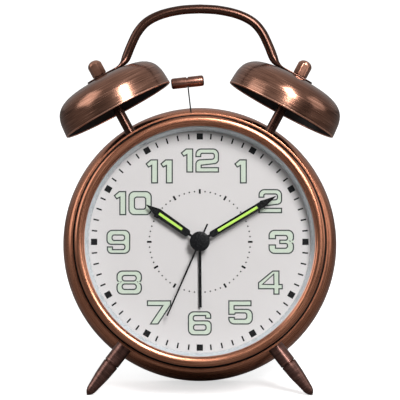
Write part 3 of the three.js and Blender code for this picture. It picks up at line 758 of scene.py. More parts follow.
def block(low: Sequence[float], high: Sequence[float], bevel: float = 0.0) -> Mesh:
    """A box with its edges rounded.

    Args:
        low: Its lowest corner.
        high: Its highest corner.
        bevel: The radius of its edges.

    Returns:
        The closed mesh.
    """
    mesh = bmesh.new()
    bmesh.ops.create_cube(mesh, size=1)
    for vertex in mesh.verts:
        vertex.co = [a + (b - a) * (c + 0.5) for a, b, c in zip(low, high, vertex.co)]
    if bevel:
        bmesh.ops.bevel(mesh, geom=mesh.edges, offset=bevel, segments=3, profile=0.5, affect="EDGES")
    grain = mesh.verts.layers.float_vector.new("grain")
    for vertex in mesh.verts:
        vertex[grain] = vertex.co
    return mesh


def joined(meshes: Iterable[Mesh]) -> Mesh:
    """Several meshes as one, each keeping its own closed shell.

    Args:
        meshes: The meshes, which are used up.

    Returns:
        The one mesh.
    """
    whole = bmesh.new()
    for mesh in meshes:
        carrier = bpy.data.meshes.new("part")
        mesh.to_mesh(carrier)
        mesh.free()
        whole.from_mesh(carrier)
        bpy.data.meshes.remove(carrier)
    return whole


def moved(mesh: Mesh, matrix: Matrix) -> Mesh:
    """The mesh, moved by a matrix."""
    mesh.transform(matrix)
    return mesh


def cut_level(mesh: Mesh) -> Mesh:
    """Cuts off what is below the table, leaving a flat.

    Args:
        mesh: A closed mesh in the clock's frame.

    Returns:
        The same mesh, closed again.
    """
    table = INTO_CLOCK @ Vector((0, 0, 0))
    up = (INTO_CLOCK.to_3x3() @ Vector((0, 0, 1))).normalized()
    geometry = mesh.verts[:] + mesh.edges[:] + mesh.faces[:]
    result = bmesh.ops.bisect_plane(mesh, geom=geometry, plane_co=table, plane_no=up, clear_inner=True)
    edges = [item for item in result["geom_cut"] if isinstance(item, bmesh.types.BMEdge)]
    if edges:
        bmesh.ops.triangle_fill(mesh, edges=edges, use_beauty=True, use_dissolve=False, normal=-up)
        bmesh.ops.recalc_face_normals(mesh, faces=mesh.faces)
    return mesh


def publish(
    name: str,
    mesh: Mesh,
    finishes: Sequence[Finish],
    body: str,
    stands_for: Sequence[str] = (),
    crease: float = 32,
) -> bpy.types.Object:
    """Makes a piece of the clock from a mesh in the clock's frame.

    Args:
        name: The piece's name.
        mesh: Its mesh, in millimetres, which is used up.
        finishes: Its finishes, in the order of the mesh's material numbers.
        body: The body that it rides on.
        stands_for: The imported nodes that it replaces.
        crease: The angle in degrees past which an edge stays sharp.

    Returns:
        The new object.
    """
    mesh.transform(CLOCK)
    data = bpy.data.meshes.new(name)
    mesh.to_mesh(data)
    mesh.free()
    for finish in finishes:
        data.materials.append(material_of(finish))
    data.polygons.foreach_set("use_smooth", [True] * len(data.polygons))
    data.set_sharp_from_angle(angle=math.radians(crease))
    piece = bpy.data.objects.new(name, data)
    bpy.context.scene.collection.objects.link(piece)
    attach(piece, body)
    if stands_for:
        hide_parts(*stands_for)
    log.info("%s rides on %s, %d faces", name, body, len(data.polygons))
    return piece


def carve(piece: bpy.types.Object, tool: Mesh) -> None:
    """Cuts a tool's solid out of a piece.

    Args:
        piece: The piece, already in place.
        tool: The solid to take away, in millimetres in the clock's frame, which is used up.
    """
    tool.transform(CLOCK)
    data = bpy.data.meshes.new("cutter")
    tool.to_mesh(data)
    tool.free()
    data.materials.append(piece.data.materials[0])
    cutter = bpy.data.objects.new("cutter", data)
    bpy.context.scene.collection.objects.link(cutter)
    modifier = piece.modifiers.new("cut", "BOOLEAN")
    modifier.operation = "DIFFERENCE"
    modifier.solver = "EXACT"
    modifier.object = cutter
    bpy.context.view_layer.update()
    evaluated = piece.evaluated_get(bpy.context.evaluated_depsgraph_get())
    result = bpy.data.meshes.new_from_object(evaluated)
    result.name = piece.data.name + "_cut"
    piece.modifiers.clear()
    piece.data = result
    bpy.data.objects.remove(cutter)


# ---------------------------------------------------------------- the clock's sub-assemblies


@dataclass
class Case:
    """The drum, the bezel with its seal, and the ring between the lens and the dial."""

    barrel: float = 55.0
    lip: tuple[float, float] = (0.3, 0.9)  # how far the front lip stands out, and its length
    lip_round: float = 0.28
    wall: float = 0.6
    rim_wall: float = 0.8
    rim_round: float = 0.35
    flare: tuple[float, float] = (21.0, 30.0)  # where the rear rim's flare starts and ends
    flare_steps: int = 12
    slot_half: tuple[float, float] = (5.4, 1.2)
    slot_reach: tuple[float, float] = (48.0, 60.0)
    bezel_bore: float = 50.9
    bezel_lip: float = 49.3
    bezel_seat: float = -8.1
    crown: tuple[float, float] = (2.02, 1.25)  # half its width, and its height
    crown_arc: tuple[float, float] = (172.0, 8.0)  # degrees
    seal_gap: float = 0.23
    mouth: tuple[float, float] = (47.7, 49.3)  # the surround's bore at the dial and at the lens
    lens_edge: float = 0.15
    rounds: int = 240  # segments round the drum and the bezel
    drum: Span = field(default_factory=lambda: HUB.span("case_drum"))
    ring: Span = field(default_factory=lambda: HUB.span("bezel"))
    surround: Span = field(default_factory=lambda: HUB.span("dial_flange"))

    def drum_profile(self) -> tuple[Profile, Profile]:
        """The drum's section.

        Returns:
            Its outside and its inside, both drawn from front to back.
        """
        front, back, rim = self.drum.low, self.drum.high, self.drum.radius
        start, end = self.flare
        flare = []
        inner = []
        for i in range(self.flare_steps + 1):
            turn = math.radians(90 * i / self.flare_steps)
            radius = self.barrel + (rim - self.barrel) * math.sin(turn)
            y = start + (end - start) * (1 - math.cos(turn))
            flare.append((radius, y))
            inset = max(self.rim_wall * math.sin(turn), self.wall)
            inner.append((radius - inset, y + self.rim_wall * math.cos(turn)))
        lip = self.barrel + self.lip[0]
        lip_end = front + self.lip[1]
        outside = arc((lip - self.lip_round, front + self.lip_round), self.lip_round, -90, 0, 4)
        outside += [(lip, lip_end), (self.barrel, lip_end + self.lip[0]), *flare]
        outside += arc((rim - self.rim_round, back - self.rim_round), self.rim_round, 0, 90, 3)
        return outside, [(self.barrel - self.wall, front), *inner, (rim - self.rim_wall, back)]

    def make_drum(self) -> None:
        """Makes the drum, with the hammer's slot and the flat that it rests on."""
        outside, inside = self.drum_profile()
        mesh = lathe(outside + inside[::-1], self.rounds, [0] * len(outside) + [1] * len(inside))
        finishes = (CASE_COPPER, DRUM_INSIDE)
        piece = publish("drum", cut_level(mesh), finishes, "case", ("case_drum",))
        half, deep = self.slot_half
        plane = middle_of("hammer_wire").y
        low, high = self.slot_reach
        carve(piece, block((-half, plane - deep, low), (half, plane + deep, high)))

    def make_bezel(self) -> None:
        """Makes the bezel: a lip over the lens's edge and a rounded crown round it."""
        outer, front, back = self.ring.radius, self.ring.low, self.ring.high
        half, rise = self.crown
        circle = arc((0, 0), 1, *self.crown_arc, 22)
        crown = [(outer - half + x * half, front + rise - y * rise) for x, y in circle]
        shoulder = [(outer, front + rise + 0.35), (outer, back)]
        lip, seat = self.bezel_lip, self.bezel_seat
        face = [(lip, seat), (lip, seat - 0.35), (lip + 0.22, seat - 0.52), (lip + 0.45, seat - 0.4)]
        profile = [(self.bezel_bore, back), (self.bezel_bore, seat), *face, *crown, *shoulder]
        mesh = lathe(profile, self.rounds, (0, 0, 1, 1, 1))  # the lip is the brighter copper, a painted highlight
        finishes = (CASE_COPPER, RIM_HIGHLIGHT_COPPER)
        publish("bezel_ring", mesh, finishes, "case", ("bezel",), crease=50)

    def make_seal(self) -> None:
        """Makes the dark seal between the bezel and the drum."""
        seal = HUB.span("bezel_seal")
        inner, outer = self.ring.radius + self.seal_gap, seal.radius
        tube = [(inner, seal.low), (outer, seal.low), (outer, seal.high), (inner, seal.high)]
        publish("seal_ring", lathe(tube), (RUBBER,), "case", ("bezel_seal",))

    def make_surround(self) -> None:
        """Makes the glossy ring that widens from the dial to the lens."""
        low, high, out = self.surround.low, self.surround.high, self.surround.radius
        near, far = self.mouth
        wall = [(near, high), (near + 0.05, high - 0.5), (far - 0.1, low + 0.1), (far, low)]
        mesh = lathe([*wall, (out, low), (out, high)])
        publish("dial_surround", mesh, (GREY_RING,), "case", ("dial_flange",), crease=60)

    def make_lens(self) -> None:
        """Makes the flat lens, with a small chamfer round its front."""
        lens = HUB.span("lens")
        radius, edge = lens.radius, self.lens_edge
        profile = [(0, lens.low), (radius - edge, lens.low), (radius, lens.low + edge)]
        profile += [(radius, lens.high), (0, lens.high)]
        publish("front_lens", lathe(profile), (LENS,), "case", ("lens",))

    def build(self) -> None:
        """Makes the case's pieces."""
        self.make_drum()
        self.make_bezel()
        self.make_seal()
        self.make_surround()
        self.make_lens()


NUMERAL_HEIGHT = 10.45


def half_turned(shape: Corners, width: float, height: float) -> Corners:
    """A figure's outline turned by half a turn within its box."""
    return [(width - corner[0], height - corner[1], *corner[2:]) for corner in shape]


def window(left: float, right: float, low: float, high: float, radius: float) -> Corners:
    """An oblong opening in a figure, with round corners."""
    return [(left, low, radius), (right, low, radius), (right, high, radius), (left, high, radius)]


def glyphs() -> dict[str, tuple[float, list[Corners]]]:
    """The dial's numerals, drawn from wide square strokes with round corners.

    Returns:
        For each figure its width and its outlines, the outer one first. A corner's third value is
        its radius.
    """
    top = NUMERAL_HEIGHT
    half = top / 2
    big, mid, small = 2.5, 2.0, 0.7
    round_wide = 10.3  # width of the six and the nine
    nine = [
        (0, top, big), (0, 3.9, mid), (7.7, 3.9, small), (7.7, 2.15, small), (2.9, 2.15), (2.9, 3.3),
        (0.2, 3.3), (0.2, 0, mid), (round_wide, 0, big), (round_wide, top, big),
    ]
    nine_eye = window(2.75, 7.55, 6.1, 7.9, small)
    waist = [
        (11, 0, big), (11, half - 0.2, mid), (10.3, half), (11, half + 0.2, mid), (11, top, big),
        (0, top, big), (0, half + 0.2, mid), (0.7, half), (0, half - 0.2, mid), (0, 0, big),
    ]
    return {
        "0": (10.1, [window(0, 10.1, 0, top, big), window(2.9, 7.2, 2.9, top - 2.9, 0.8)]),
        "1": (5.5, [[
            (2.45, 0), (5.5, 0), (5.5, top), (2.3, top), (0, 8.5), (1.25, 6.75), (2.45, 7.35),
        ]]),
        "2": (10.2, [[
            (0, 0), (10.2, 0), (10.2, 2.4), (2.8, 2.4), (2.8, 2.95), (10.2, 3.85, mid), (10.2, top, big),
            (0, top, big), (0, top - 3.8), (2.6, top - 3.8), (2.6, top - 2.4, 0.4), (7.9, top - 2.4, small),
            (7.9, top - 4.35, small), (0, top - 4.8, mid),
        ]]),
        "3": (11, [[
            (0, 4.15), (0, 0, big), (11, 0, big), (11, half - 0.2, mid), (10.4, half),
            (11, half + 0.2, mid), (11, top, big), (0, top, big), (0, top - 4.15), (3.3, top - 4.15),
            (3.3, top - 2.75), (7.9, top - 2.75, small), (7.9, half + 1, 0.5), (4.6, half + 1),
            (4.6, half - 1), (7.9, half - 1, 0.5), (7.9, 2.75, small), (3.3, 2.75), (3.3, 4.15),
        ]]),
        "4": (10.7, [
            [
                (6.6, 0), (9.3, 0), (9.3, 2.3), (10.7, 2.3), (10.7, 4.65), (9.3, 4.65), (9.3, top),
                (6.3, top), (0, 5.3), (0, 2.3), (6.6, 2.3),
            ],
            [(6.6, 4.65), (6.6, 8.4), (2.5, 4.65)],
        ]),
        "5": (10.6, [[
            (0, 3.35), (0, 0, big), (10.6, 0, big), (10.6, top - 3.65, big), (2.8, top - 3.65),
            (2.8, top - 2.6), (10.05, top - 2.6), (10.05, top), (0, top), (0, 4.15), (2.9, 4.15),
            (3.2, 4.75), (7.7, 4.75, small), (7.7, 2.6, small), (2.9, 2.6), (2.9, 3.35),
        ]]),
        "6": (round_wide, [half_turned(shape, round_wide, top) for shape in (nine, nine_eye)]),
        "7": (10.5, [[
            (1.1, 0), (4.9, 0), (10.5, top - 2), (10.5, top), (0, top), (0, top - 2.55), (6.4, top - 2.55),
        ]]),
        "8": (11, [waist, *(window(2.75, 8.25, z, z + 1.8, 0.85) for z in (2.55, 6.2))]),
        "9": (round_wide, [nine, nine_eye]),
    }


@dataclass
class Dial:
    """The dial plate and everything printed on it."""

    numeral_circle: float = 35.0
    wide_drawn_in: float = 1.7
    figure_gap: float = 0.85
    outline: float = 0.55
    square: float = 2.7
    square_circle: float = 45.4
    minute: tuple[float, float] = (44.3, 46.7)
    minute_width: float = 0.66
    track: float = 21.7
    bar: tuple[float, float] = (2.0, 0.85)
    dot: float = 0.34
    ink: float = 0.03
    lift: float = 0.004  # the ink's back, off the plate's face
    lume: float = 0.072
    hole: float = 3.2
    plate: Span = field(default_factory=lambda: HUB.span("dial"))

    def make_plate(self) -> None:
        """Makes the dial plate, with the hole for the hands' arbors."""
        front, back, hole, rim = self.plate.low, self.plate.high, self.hole, self.plate.radius
        profile = [(hole, front), (rim, front), (rim, back), (hole, back)]
        publish("dial_plate", lathe(profile), (DIAL_PAINT,), "case", ("dial",))

    def make_marks(self) -> None:
        """Makes the minute ring and the alarm track, all in black ink."""
        front, back = -self.ink, -self.lift
        marks = []
        for i in range(60):
            turn = Matrix.Rotation(TURN * i / 60, 4, "Y")
            if i % 5 == 0:
                side, middle = self.square / 2, self.square_circle
                square = block((-side, front, middle - side), (side, back, middle + side))
                marks.append(moved(square, turn))
                long, wide = (size / 2 for size in self.bar)
                low, high = (-wide, front, self.track - long), (wide, back, self.track + long)
                marks.append(moved(block(low, high), turn))
            else:
                half = self.minute_width / 2
                stroke = block((-half, front, self.minute[0]), (half, back, self.minute[1]))
                marks.append(moved(stroke, turn))
                round_dot = lathe([(0, front), (self.dot, front), (self.dot, back), (0, back)], 16)
                marks.append(moved(round_dot, turn @ Matrix.Translation((0, 0, self.track))))
        publish("dial_marks", joined(marks), (INK,), "case")

    def make_numerals(self) -> None:
        """Makes the twelve numerals: a dark outline and the luminous paint inside it."""
        figures = glyphs()
        edges, fills = [], []
        for hour in range(1, 13):
            text = str(hour)
            angle = math.radians(90 - 30 * hour)
            circle = self.numeral_circle - (self.wide_drawn_in if hour == 10 else 0)
            width = sum(figures[c][0] for c in text) + self.figure_gap * (len(text) - 1)
            x = circle * math.cos(angle) - width / 2
            z = circle * math.sin(angle) - NUMERAL_HEIGHT / 2
            for character in text:
                advance, outlines = figures[character]
                shapes = []
                for index, corners in enumerate(outlines):
                    placed = [(px + x, pz + z) for px, pz in rounded(corners)]
                    shapes.append(turned_way(placed, index == 0))
                inner = [widened(shape, -self.outline) for shape in shapes]
                edges.append(plate(shapes, -self.ink, -self.lift))
                fills.append(plate(inner, -self.lume, -2 * self.lift))
                x += advance + self.figure_gap
        publish("numeral_outlines", joined(edges), (OUTLINE_INK,), "case")
        publish("numeral_lume", joined(fills), (NUMERAL_LUME,), "case")

    def build(self) -> None:
        """Makes the dial's pieces."""
        self.make_plate()
        self.make_marks()
        self.make_numerals()


@dataclass(frozen=True)
class Hand:
    """One hand: half of its outline, its boss, and the stripe of lume on it."""

    node: str
    body: str
    half: tuple[tuple[float, float], ...]
    boss: float
    tail: float = 0.0
    stripe: tuple[float, float, float] | None = None
    bore: float = 0.0


@dataclass
class Hands:
    """The four hands and the cap over their arbors."""

    bevel: float = 0.08
    tail_half: float = 0.36
    cap_round: float = 0.4
    stripe_round: float = 0.2
    hands: tuple[Hand, ...] = (
        Hand("alarm_hand", "alarm_pointer", ((0.6, 0), (0.6, 28.2)), boss=3.4, bore=3.05),
        Hand(
            "hour_hand", "hour",
            ((0.55, 0), (0.55, 5.5), (1.2, 5.75), (1.62, 6.3), (1.9, 22), (0.12, 27.8)),
            boss=2.9, stripe=(0.58, 9.2, 21.2), bore=2.3),
        Hand(
            "minute_hand", "minute",
            ((0.55, 0), (0.55, 5.2), (1.0, 5.45), (1.4, 6.0), (1.5, 32), (0.12, 38)),
            boss=2.4, stripe=(0.56, 9, 28.8), bore=1.4),
        Hand("second_hand", "seconds", ((0.42, 0), (0.3, 34.8)), boss=4.3, tail=8.2),
    )

    def direction(self, hand: Hand) -> float:
        """Which way a hand points at rest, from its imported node.

        Args:
            hand: The hand.

        Returns:
            Its angle clockwise from twelve, in radians.
        """
        tip = max(points_of(hand.node), key=lambda p: math.hypot(p.x, p.z))
        return math.atan2(tip.x, tip.z)

    def make_hand(self, hand: Hand) -> None:
        """Makes one hand and its lume.

        Args:
            hand: Which hand.
        """
        span = HUB.span(hand.node)
        front, back = span.low, span.high
        turn = Matrix.Rotation(self.direction(hand), 4, "Y")
        outline = [*hand.half, *((-x, z) for x, z in hand.half[::-1])]
        if hand.tail:
            outline = [(self.tail_half, -hand.tail), *outline, (-self.tail_half, -hand.tail)]
            rim = back + 0.25
            rest = hand.boss - self.cap_round
            boss = [(0, rim), (hand.boss, rim), (hand.boss, front + 0.12)]
            boss += arc((rest, front + 0.1), self.cap_round, 0, -90, 5)
            boss += [(3.1, front - 0.36), (1.5, front - 0.42), (0, front - 0.44)]
        else:
            boss = [(hand.bore, front), (hand.boss, front), (hand.boss, back), (hand.bore, back)]
        mesh = moved(joined([plate([outline], front, back, self.bevel), lathe(boss, SMALL)]), turn)
        publish(hand.node + "_blade", mesh, (HAND_PAINT,), hand.body, (hand.node,))
        if hand.stripe:
            half, start, end = hand.stripe
            stripe = rounded(window(-half, half, start, end, self.stripe_round), 3)
            lume = moved(plate([stripe], front - 0.07, front + 0.1, 0.05), turn)
            publish(hand.node + "_lume", lume, (HAND_LUME,), hand.body)

    def build(self) -> None:
        """Makes the hands."""
        for hand in self.hands:
            self.make_hand(hand)


def hexagon_nut(flats: float, profile: Profile, bore: float, segments: int = 96) -> Mesh:
    """A nut: a hexagon whose corners are turned down to a profile.

    Args:
        flats: The width across its flats.
        profile: Radius and height of the turned shape, from the bottom up.
        bore: The radius of its blind or open hole, or 0 for none.
        segments: Steps round it, a multiple of 6.

    Returns:
        The closed mesh.
    """
    mesh = lathe(profile, segments)
    apothem = flats / 2
    for vertex in mesh.verts:
        radius = math.hypot(vertex.co.x, vertex.co.z)
        if radius <= max(bore + 0.01, 1e-6):
            continue
        angle = math.atan2(vertex.co.z, vertex.co.x)
        from_flat = (angle + math.pi / 6) % (math.pi / 3) - math.pi / 6
        limit = apothem / math.cos(from_flat)
        if radius > limit:
            vertex.co.x *= limit / radius
            vertex.co.z *= limit / radius
    return mesh


@dataclass
class Bell:
    """One bell with its post, washer and cap nut."""

    side: str
    wall: float = 0.8
    hole: float = 1.9
    bead: float = 0.42
    post_radius: float = 2.15
    stud_radius: float = 1.5
    foot_stud: float = 5.4
    seat_gap: float = 0.25
    chamfer: float = 0.15
    washer_hole: float = 1.8
    washer_edge: float = 0.2
    nut_turn: float = 38.0
    nut_bore: float = 1.8
    nut_rise: float = 0.2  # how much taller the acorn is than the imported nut
    # radius and height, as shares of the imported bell's
    dome: tuple[tuple[float, float], ...] = (
        (1.0, 0.0), (0.994, 0.2), (0.972, 0.47), (0.904, 0.695),
        (0.768, 0.86), (0.56, 0.957), (0.28, 0.996), (0.076, 1.0))

    def __post_init__(self) -> None:
        """Finds the bell's axis in the frame."""
        self.axis = Axis.through(Place.LEFT_BELL if self.side == "left" else Place.RIGHT_BELL)

    def make_shell(self) -> None:
        """Makes the bell: its rolled rim in brighter copper as a painted highlight, and its inside near-black as
        painted shade.
        """
        name = "bell_" + self.side
        span = self.axis.span(name)
        outer = [(r * span.radius, span.low + h * span.length) for r, h in smooth_line(self.dome, 7)]
        outer = [(r, y) for r, y in outer if y > span.low + self.bead + 0.03]
        inner = []
        for (r0, y0), (r1, y1) in zip(outer, outer[1:]):
            along = Vector((r1 - r0, y1 - y0)).normalized()
            inner.append((r0 - along.y * self.wall, y0 + along.x * self.wall))
        rim = arc((span.radius - self.bead, span.low + self.bead), self.bead, 180, 360, 8)
        profile = [*rim, *outer, (self.hole, outer[-1][1] - self.wall), *inner[::-1]]
        # band 1 is the rim's painted highlight, band 2 the inside's painted shade
        paint = [1] * len(rim) + [0] * (len(outer) - 1) + [2] * (len(inner) + 2)
        mesh = moved(lathe(profile, SMOOTH, paint), self.axis.matrix)
        finishes = (BELL_COPPER, RIM_HIGHLIGHT_COPPER, BELL_INSIDE_SHADE)
        publish(name + "_shell", mesh, finishes, "case", (name,), crease=60)

    def make_post(self) -> None:
        """Makes the post and the washer that the bell rests on."""
        node, washer_node = "bell_post_" + self.side, "bell_washer_" + self.side
        post, washer = self.axis.span(node), self.axis.span(washer_node)
        radius, stud, chamfer = self.post_radius, self.stud_radius, self.chamfer
        foot, seat = post.low + self.foot_stud, washer.low - self.seat_gap
        profile = [(0, post.low), (stud + 0.1, post.low), (stud + 0.1, foot), (radius - chamfer, foot)]
        profile += [(radius, foot + chamfer), (radius, seat - chamfer), (radius - chamfer, seat)]
        profile += [(stud, seat), (stud, post.high), (0, post.high)]
        mesh = moved(lathe(profile, SMALL), self.axis.matrix)
        publish("post_" + self.side, mesh, (DARK_COPPER,), "case", (node,))
        low, high, rim, edge = washer.low, washer.high, washer.radius, self.washer_edge
        ring = [(self.washer_hole, low), (rim - edge, low), (rim, low + edge)]
        ring += [(rim, high - edge), (rim - edge, high), (self.washer_hole, high)]
        mesh = moved(lathe(ring, SMALL), self.axis.matrix)
        publish("washer_" + self.side, mesh, (RUBBER,), "case", (washer_node,))

    def make_cap_nut(self) -> None:
        """Makes the acorn nut over the bell, blind at the top."""
        node = "cap_nut_" + self.side
        cap = self.axis.span(node)
        corner, top, bore = cap.radius, cap.high + self.nut_rise, self.nut_bore
        ceiling = top - 1.4
        shell = [(0, ceiling), (bore, ceiling - 0.2), (bore, cap.low), (corner - 0.35, cap.low)]
        shell += [(corner, cap.low + 0.3), (corner, top - 2.0), (corner - 0.2, top - 1.6)]
        shell += [(corner - 0.6, top - 1.0), (corner - 1.15, top - 0.5), (corner - 1.8, top - 0.18)]
        shell += [(0.8, top - 0.02), (0, top)]
        nut = hexagon_nut(corner * math.sqrt(3), shell, bore)
        spin = math.radians(self.nut_turn) * SIDES[self.side]
        mesh = moved(nut, self.axis.matrix @ Matrix.Rotation(spin, 4, "Y"))
        publish(node + "_acorn", mesh, (NUT_COPPER,), "case", (node,), crease=20)

    def build(self) -> None:
        """Makes the bell's pieces."""
        self.make_shell()
        self.make_post()
        self.make_cap_nut()


@dataclass
class Handle:
    """The arched handle: a tube whose ends are pressed flat and clamped by the cap nuts."""

    tube: float = 2.0
    sides: int = 28
    foot_half: float = 4.0
    foot_top: float = 16.9
    foot_bottom: float = 16.05
    foot_end: float = 2.3
    arch: tuple[tuple[float, float], ...] = (
        (31.5, 80.8), (29.5, 85.8), (26.7, 91.3), (22.6, 95.7), (16.2, 98.8), (8.0, 100.6), (0.0, 101.1))

    def foot_stations(self, axis: Axis, rim: float) -> list[tuple[float, ...]]:
        """The right-hand foot, from the plate's round end to where the tube starts.

        Args:
            axis: The right-hand bell's axis.
            rim: Where the bell's rim is along that axis.

        Returns:
            Stations of X, Z, half thickness, half width and squareness.
        """
        up = axis.along
        out = Vector((up.z, 0, -up.x))
        thick = (self.foot_top - self.foot_bottom) / 2
        level = (self.foot_top + self.foot_bottom) / 2
        reach = self.foot_half
        stations = []
        for turn in (4, 18, 36, 54, 72, 90):
            u = self.foot_end + reach * math.cos(math.radians(turn))
            stations.append((u, level, thick, reach * math.sin(math.radians(turn)), 5.0))
        stations += [
            (-3.0, level, thick, reach, 5.0),
            (-7.0, level, thick, reach, 4.8),
            (-8.8, level + 0.08, thick + 0.2, reach - 0.5, 3.8),
            (-10.2, level + 0.4, 0.95, 3.1, 3.0),
            (-11.5, level + 0.8, 1.4, 2.6, 2.5),
            (-12.8, level + 1.5, 1.8, 2.2, 2.2),
        ]
        placed = []
        for u, v, *size in stations:
            point = axis.origin + out * u + up * (rim + v)
            placed.append((point.x, point.z, *size))
        return placed

    def sweep(self, line: Sequence[tuple[float, ...]], plane: float) -> Mesh:
        """A closed tube along a line of stations.

        Args:
            line: Stations of X, Z, half thickness, half width and squareness.
            plane: The Y that the line lies at.

        Returns:
            The mesh, with its grain running along the tube.
        """
        mesh = bmesh.new()
        grain = mesh.verts.layers.float_vector.new("grain")
        rings = []
        last = len(line) - 1
        for i, (x, z, thick, wide, square) in enumerate(line):
            ahead, behind = line[min(i + 1, last)], line[max(i - 1, 0)]
            along = Vector((ahead[0] - behind[0], ahead[1] - behind[1])).normalized()
            ring = []
            for k in range(self.sides):
                c, s = math.cos(TURN * k / self.sides), math.sin(TURN * k / self.sides)
                rise = thick * math.copysign(abs(c) ** (2 / square), c)
                side = wide * math.copysign(abs(s) ** (2 / square), s)
                vertex = mesh.verts.new((x - along.y * rise, plane + side, z + along.x * rise))
                vertex[grain] = (3 * c, 0.08 * x, 3 * s + 0.08 * z)
                ring.append(vertex)
            rings.append(ring)
        for ring, other in zip(rings, rings[1:]):
            for k in range(self.sides):
                j = (k + 1) % self.sides
                mesh.faces.new((ring[k], ring[j], other[j], other[k]))
        mesh.faces.new(rings[0][::-1])
        mesh.faces.new(rings[-1])
        bmesh.ops.recalc_face_normals(mesh, faces=mesh.faces)
        return mesh

    def build(self) -> None:
        """Makes the handle as one swept piece."""
        axis = Axis.through(Place.RIGHT_BELL)
        rim = axis.span("bell_right").low
        half = self.foot_stations(axis, rim)
        half += [(x, z, self.tube, self.tube, 2.0) for x, z in self.arch]
        right = smooth_line(half, 5)
        whole = right + [(-x, *rest) for x, *rest in right[-2::-1]]
        mesh = self.sweep(whole, middle_of("handle").y)
        publish("handle_arch", mesh, (DARK_COPPER,), "case", ("handle",), crease=50)


@dataclass
class Leg:
    """One front leg, a stem and a bullet-shaped foot with a groove between them."""

    side: str
    chamfer: float = 0.3
    stud: tuple[float, float] = (1.9, 4.6)  # its radius and its length inside the case
    sleeve: float = 6.1  # from the groove to where the foot starts to taper
    bullet: float = 11.0
    ridge: float = 0.035
    plain: int = 4  # rings at the tip that carry no ridge
    # distance from the start of the taper, and radius
    taper: tuple[tuple[float, float], ...] = (
        (0.0, 3.1), (0.7, 3.04), (1.6, 2.93), (3.2, 2.72), (4.9, 2.5),
        (6.6, 2.3), (8.2, 2.02), (9.4, 1.55), (10.2, 0.9))

    def make_stem(self, axis: Axis) -> float:
        """Makes the leg's stem, with its stud.

        Args:
            axis: The leg's axis.

        Returns:
            The stem's radius.
        """
        node = "leg_stem_" + self.side
        stem = axis.span(node)
        radius, chamfer = stem.radius, self.chamfer
        stud, depth = self.stud
        start = stem.low + depth
        profile = [(0, stem.low), (stud, stem.low), (stud, start), (radius, start)]
        profile += [(radius, stem.high - chamfer), (radius - chamfer, stem.high), (0, stem.high)]
        mesh = moved(lathe(profile, SMALL), axis.matrix)
        publish(node + "_turned", mesh, (LEG_COPPER,), "case", (node,))
        return radius

    def make_foot(self, axis: Axis, radius: float) -> None:
        """Makes the leg's foot, with the flat that it stands on.

        Args:
            axis: The leg's axis.
            radius: The foot's radius at its top.
        """
        node = "leg_foot_" + self.side
        top, chamfer = axis.span(node).low, self.chamfer
        start = top + self.sleeve
        lower = [(r, start + h) for h, r in smooth_line(self.taper, 3)]
        ridged = [(r - (self.ridge if i % 2 else 0), h) for i, (r, h) in enumerate(lower[:-self.plain])]
        neck = radius - 2 * chamfer
        profile = [(0, top - chamfer), (neck, top - chamfer), (neck, top), (radius - chamfer, top)]
        profile += [(radius, top + chamfer), *ridged, *lower[-self.plain:], (0, start + self.bullet)]
        mesh = cut_level(moved(lathe(profile, SMALL), axis.matrix))
        publish(node + "_turned", mesh, (LEG_COPPER,), "case", (node,), crease=45)

    def build(self) -> None:
        """Makes the leg's stem and foot."""
        axis = Axis.through(Place.LEFT_LEG if self.side == "left" else Place.RIGHT_LEG)
        self.make_foot(axis, self.make_stem(axis))


@dataclass
class Hammer:
    """The hammer's head on its spring wire."""

    groove: float = 0.35
    groove_half: float = 0.35
    chamfer: float = 1.0
    wire_sides: int = 24

    def build(self) -> None:
        """Makes the head and the wire."""
        pivot = joint_place("hammer_swing")
        head = middle_of("hammer_head")
        pivot.y = head.y
        up = (head - pivot).normalized()
        along = Axis(head, Vector((up.z, 0, -up.x)))
        span = along.span("hammer_head")
        half, radius = span.high, span.radius
        end = arc((radius - self.chamfer, half - self.chamfer), self.chamfer, 90, 0, 5)
        side = [(0, half), *end, (radius, self.groove_half + 0.1), (radius - self.groove, self.groove_half)]
        profile = side + [(r, -y) for r, y in side[::-1]]
        mesh = moved(lathe(profile, SMALL), along.matrix)
        finish = (HAMMER_COPPER,)
        publish("hammer_barrel", mesh, finish, "hammer", ("hammer_head",), crease=40)
        wire_axis = Axis(pivot, up)
        wire = wire_axis.span("hammer_wire")
        rod = [(0, wire.low), (wire.radius, wire.low), (wire.radius, wire.high), (0, wire.high)]
        mesh = moved(lathe(rod, self.wire_sides), wire_axis.matrix)
        finish = (DARK_STEEL,)
        publish("hammer_spring_wire", mesh, finish, "hammer", ("hammer_wire",))


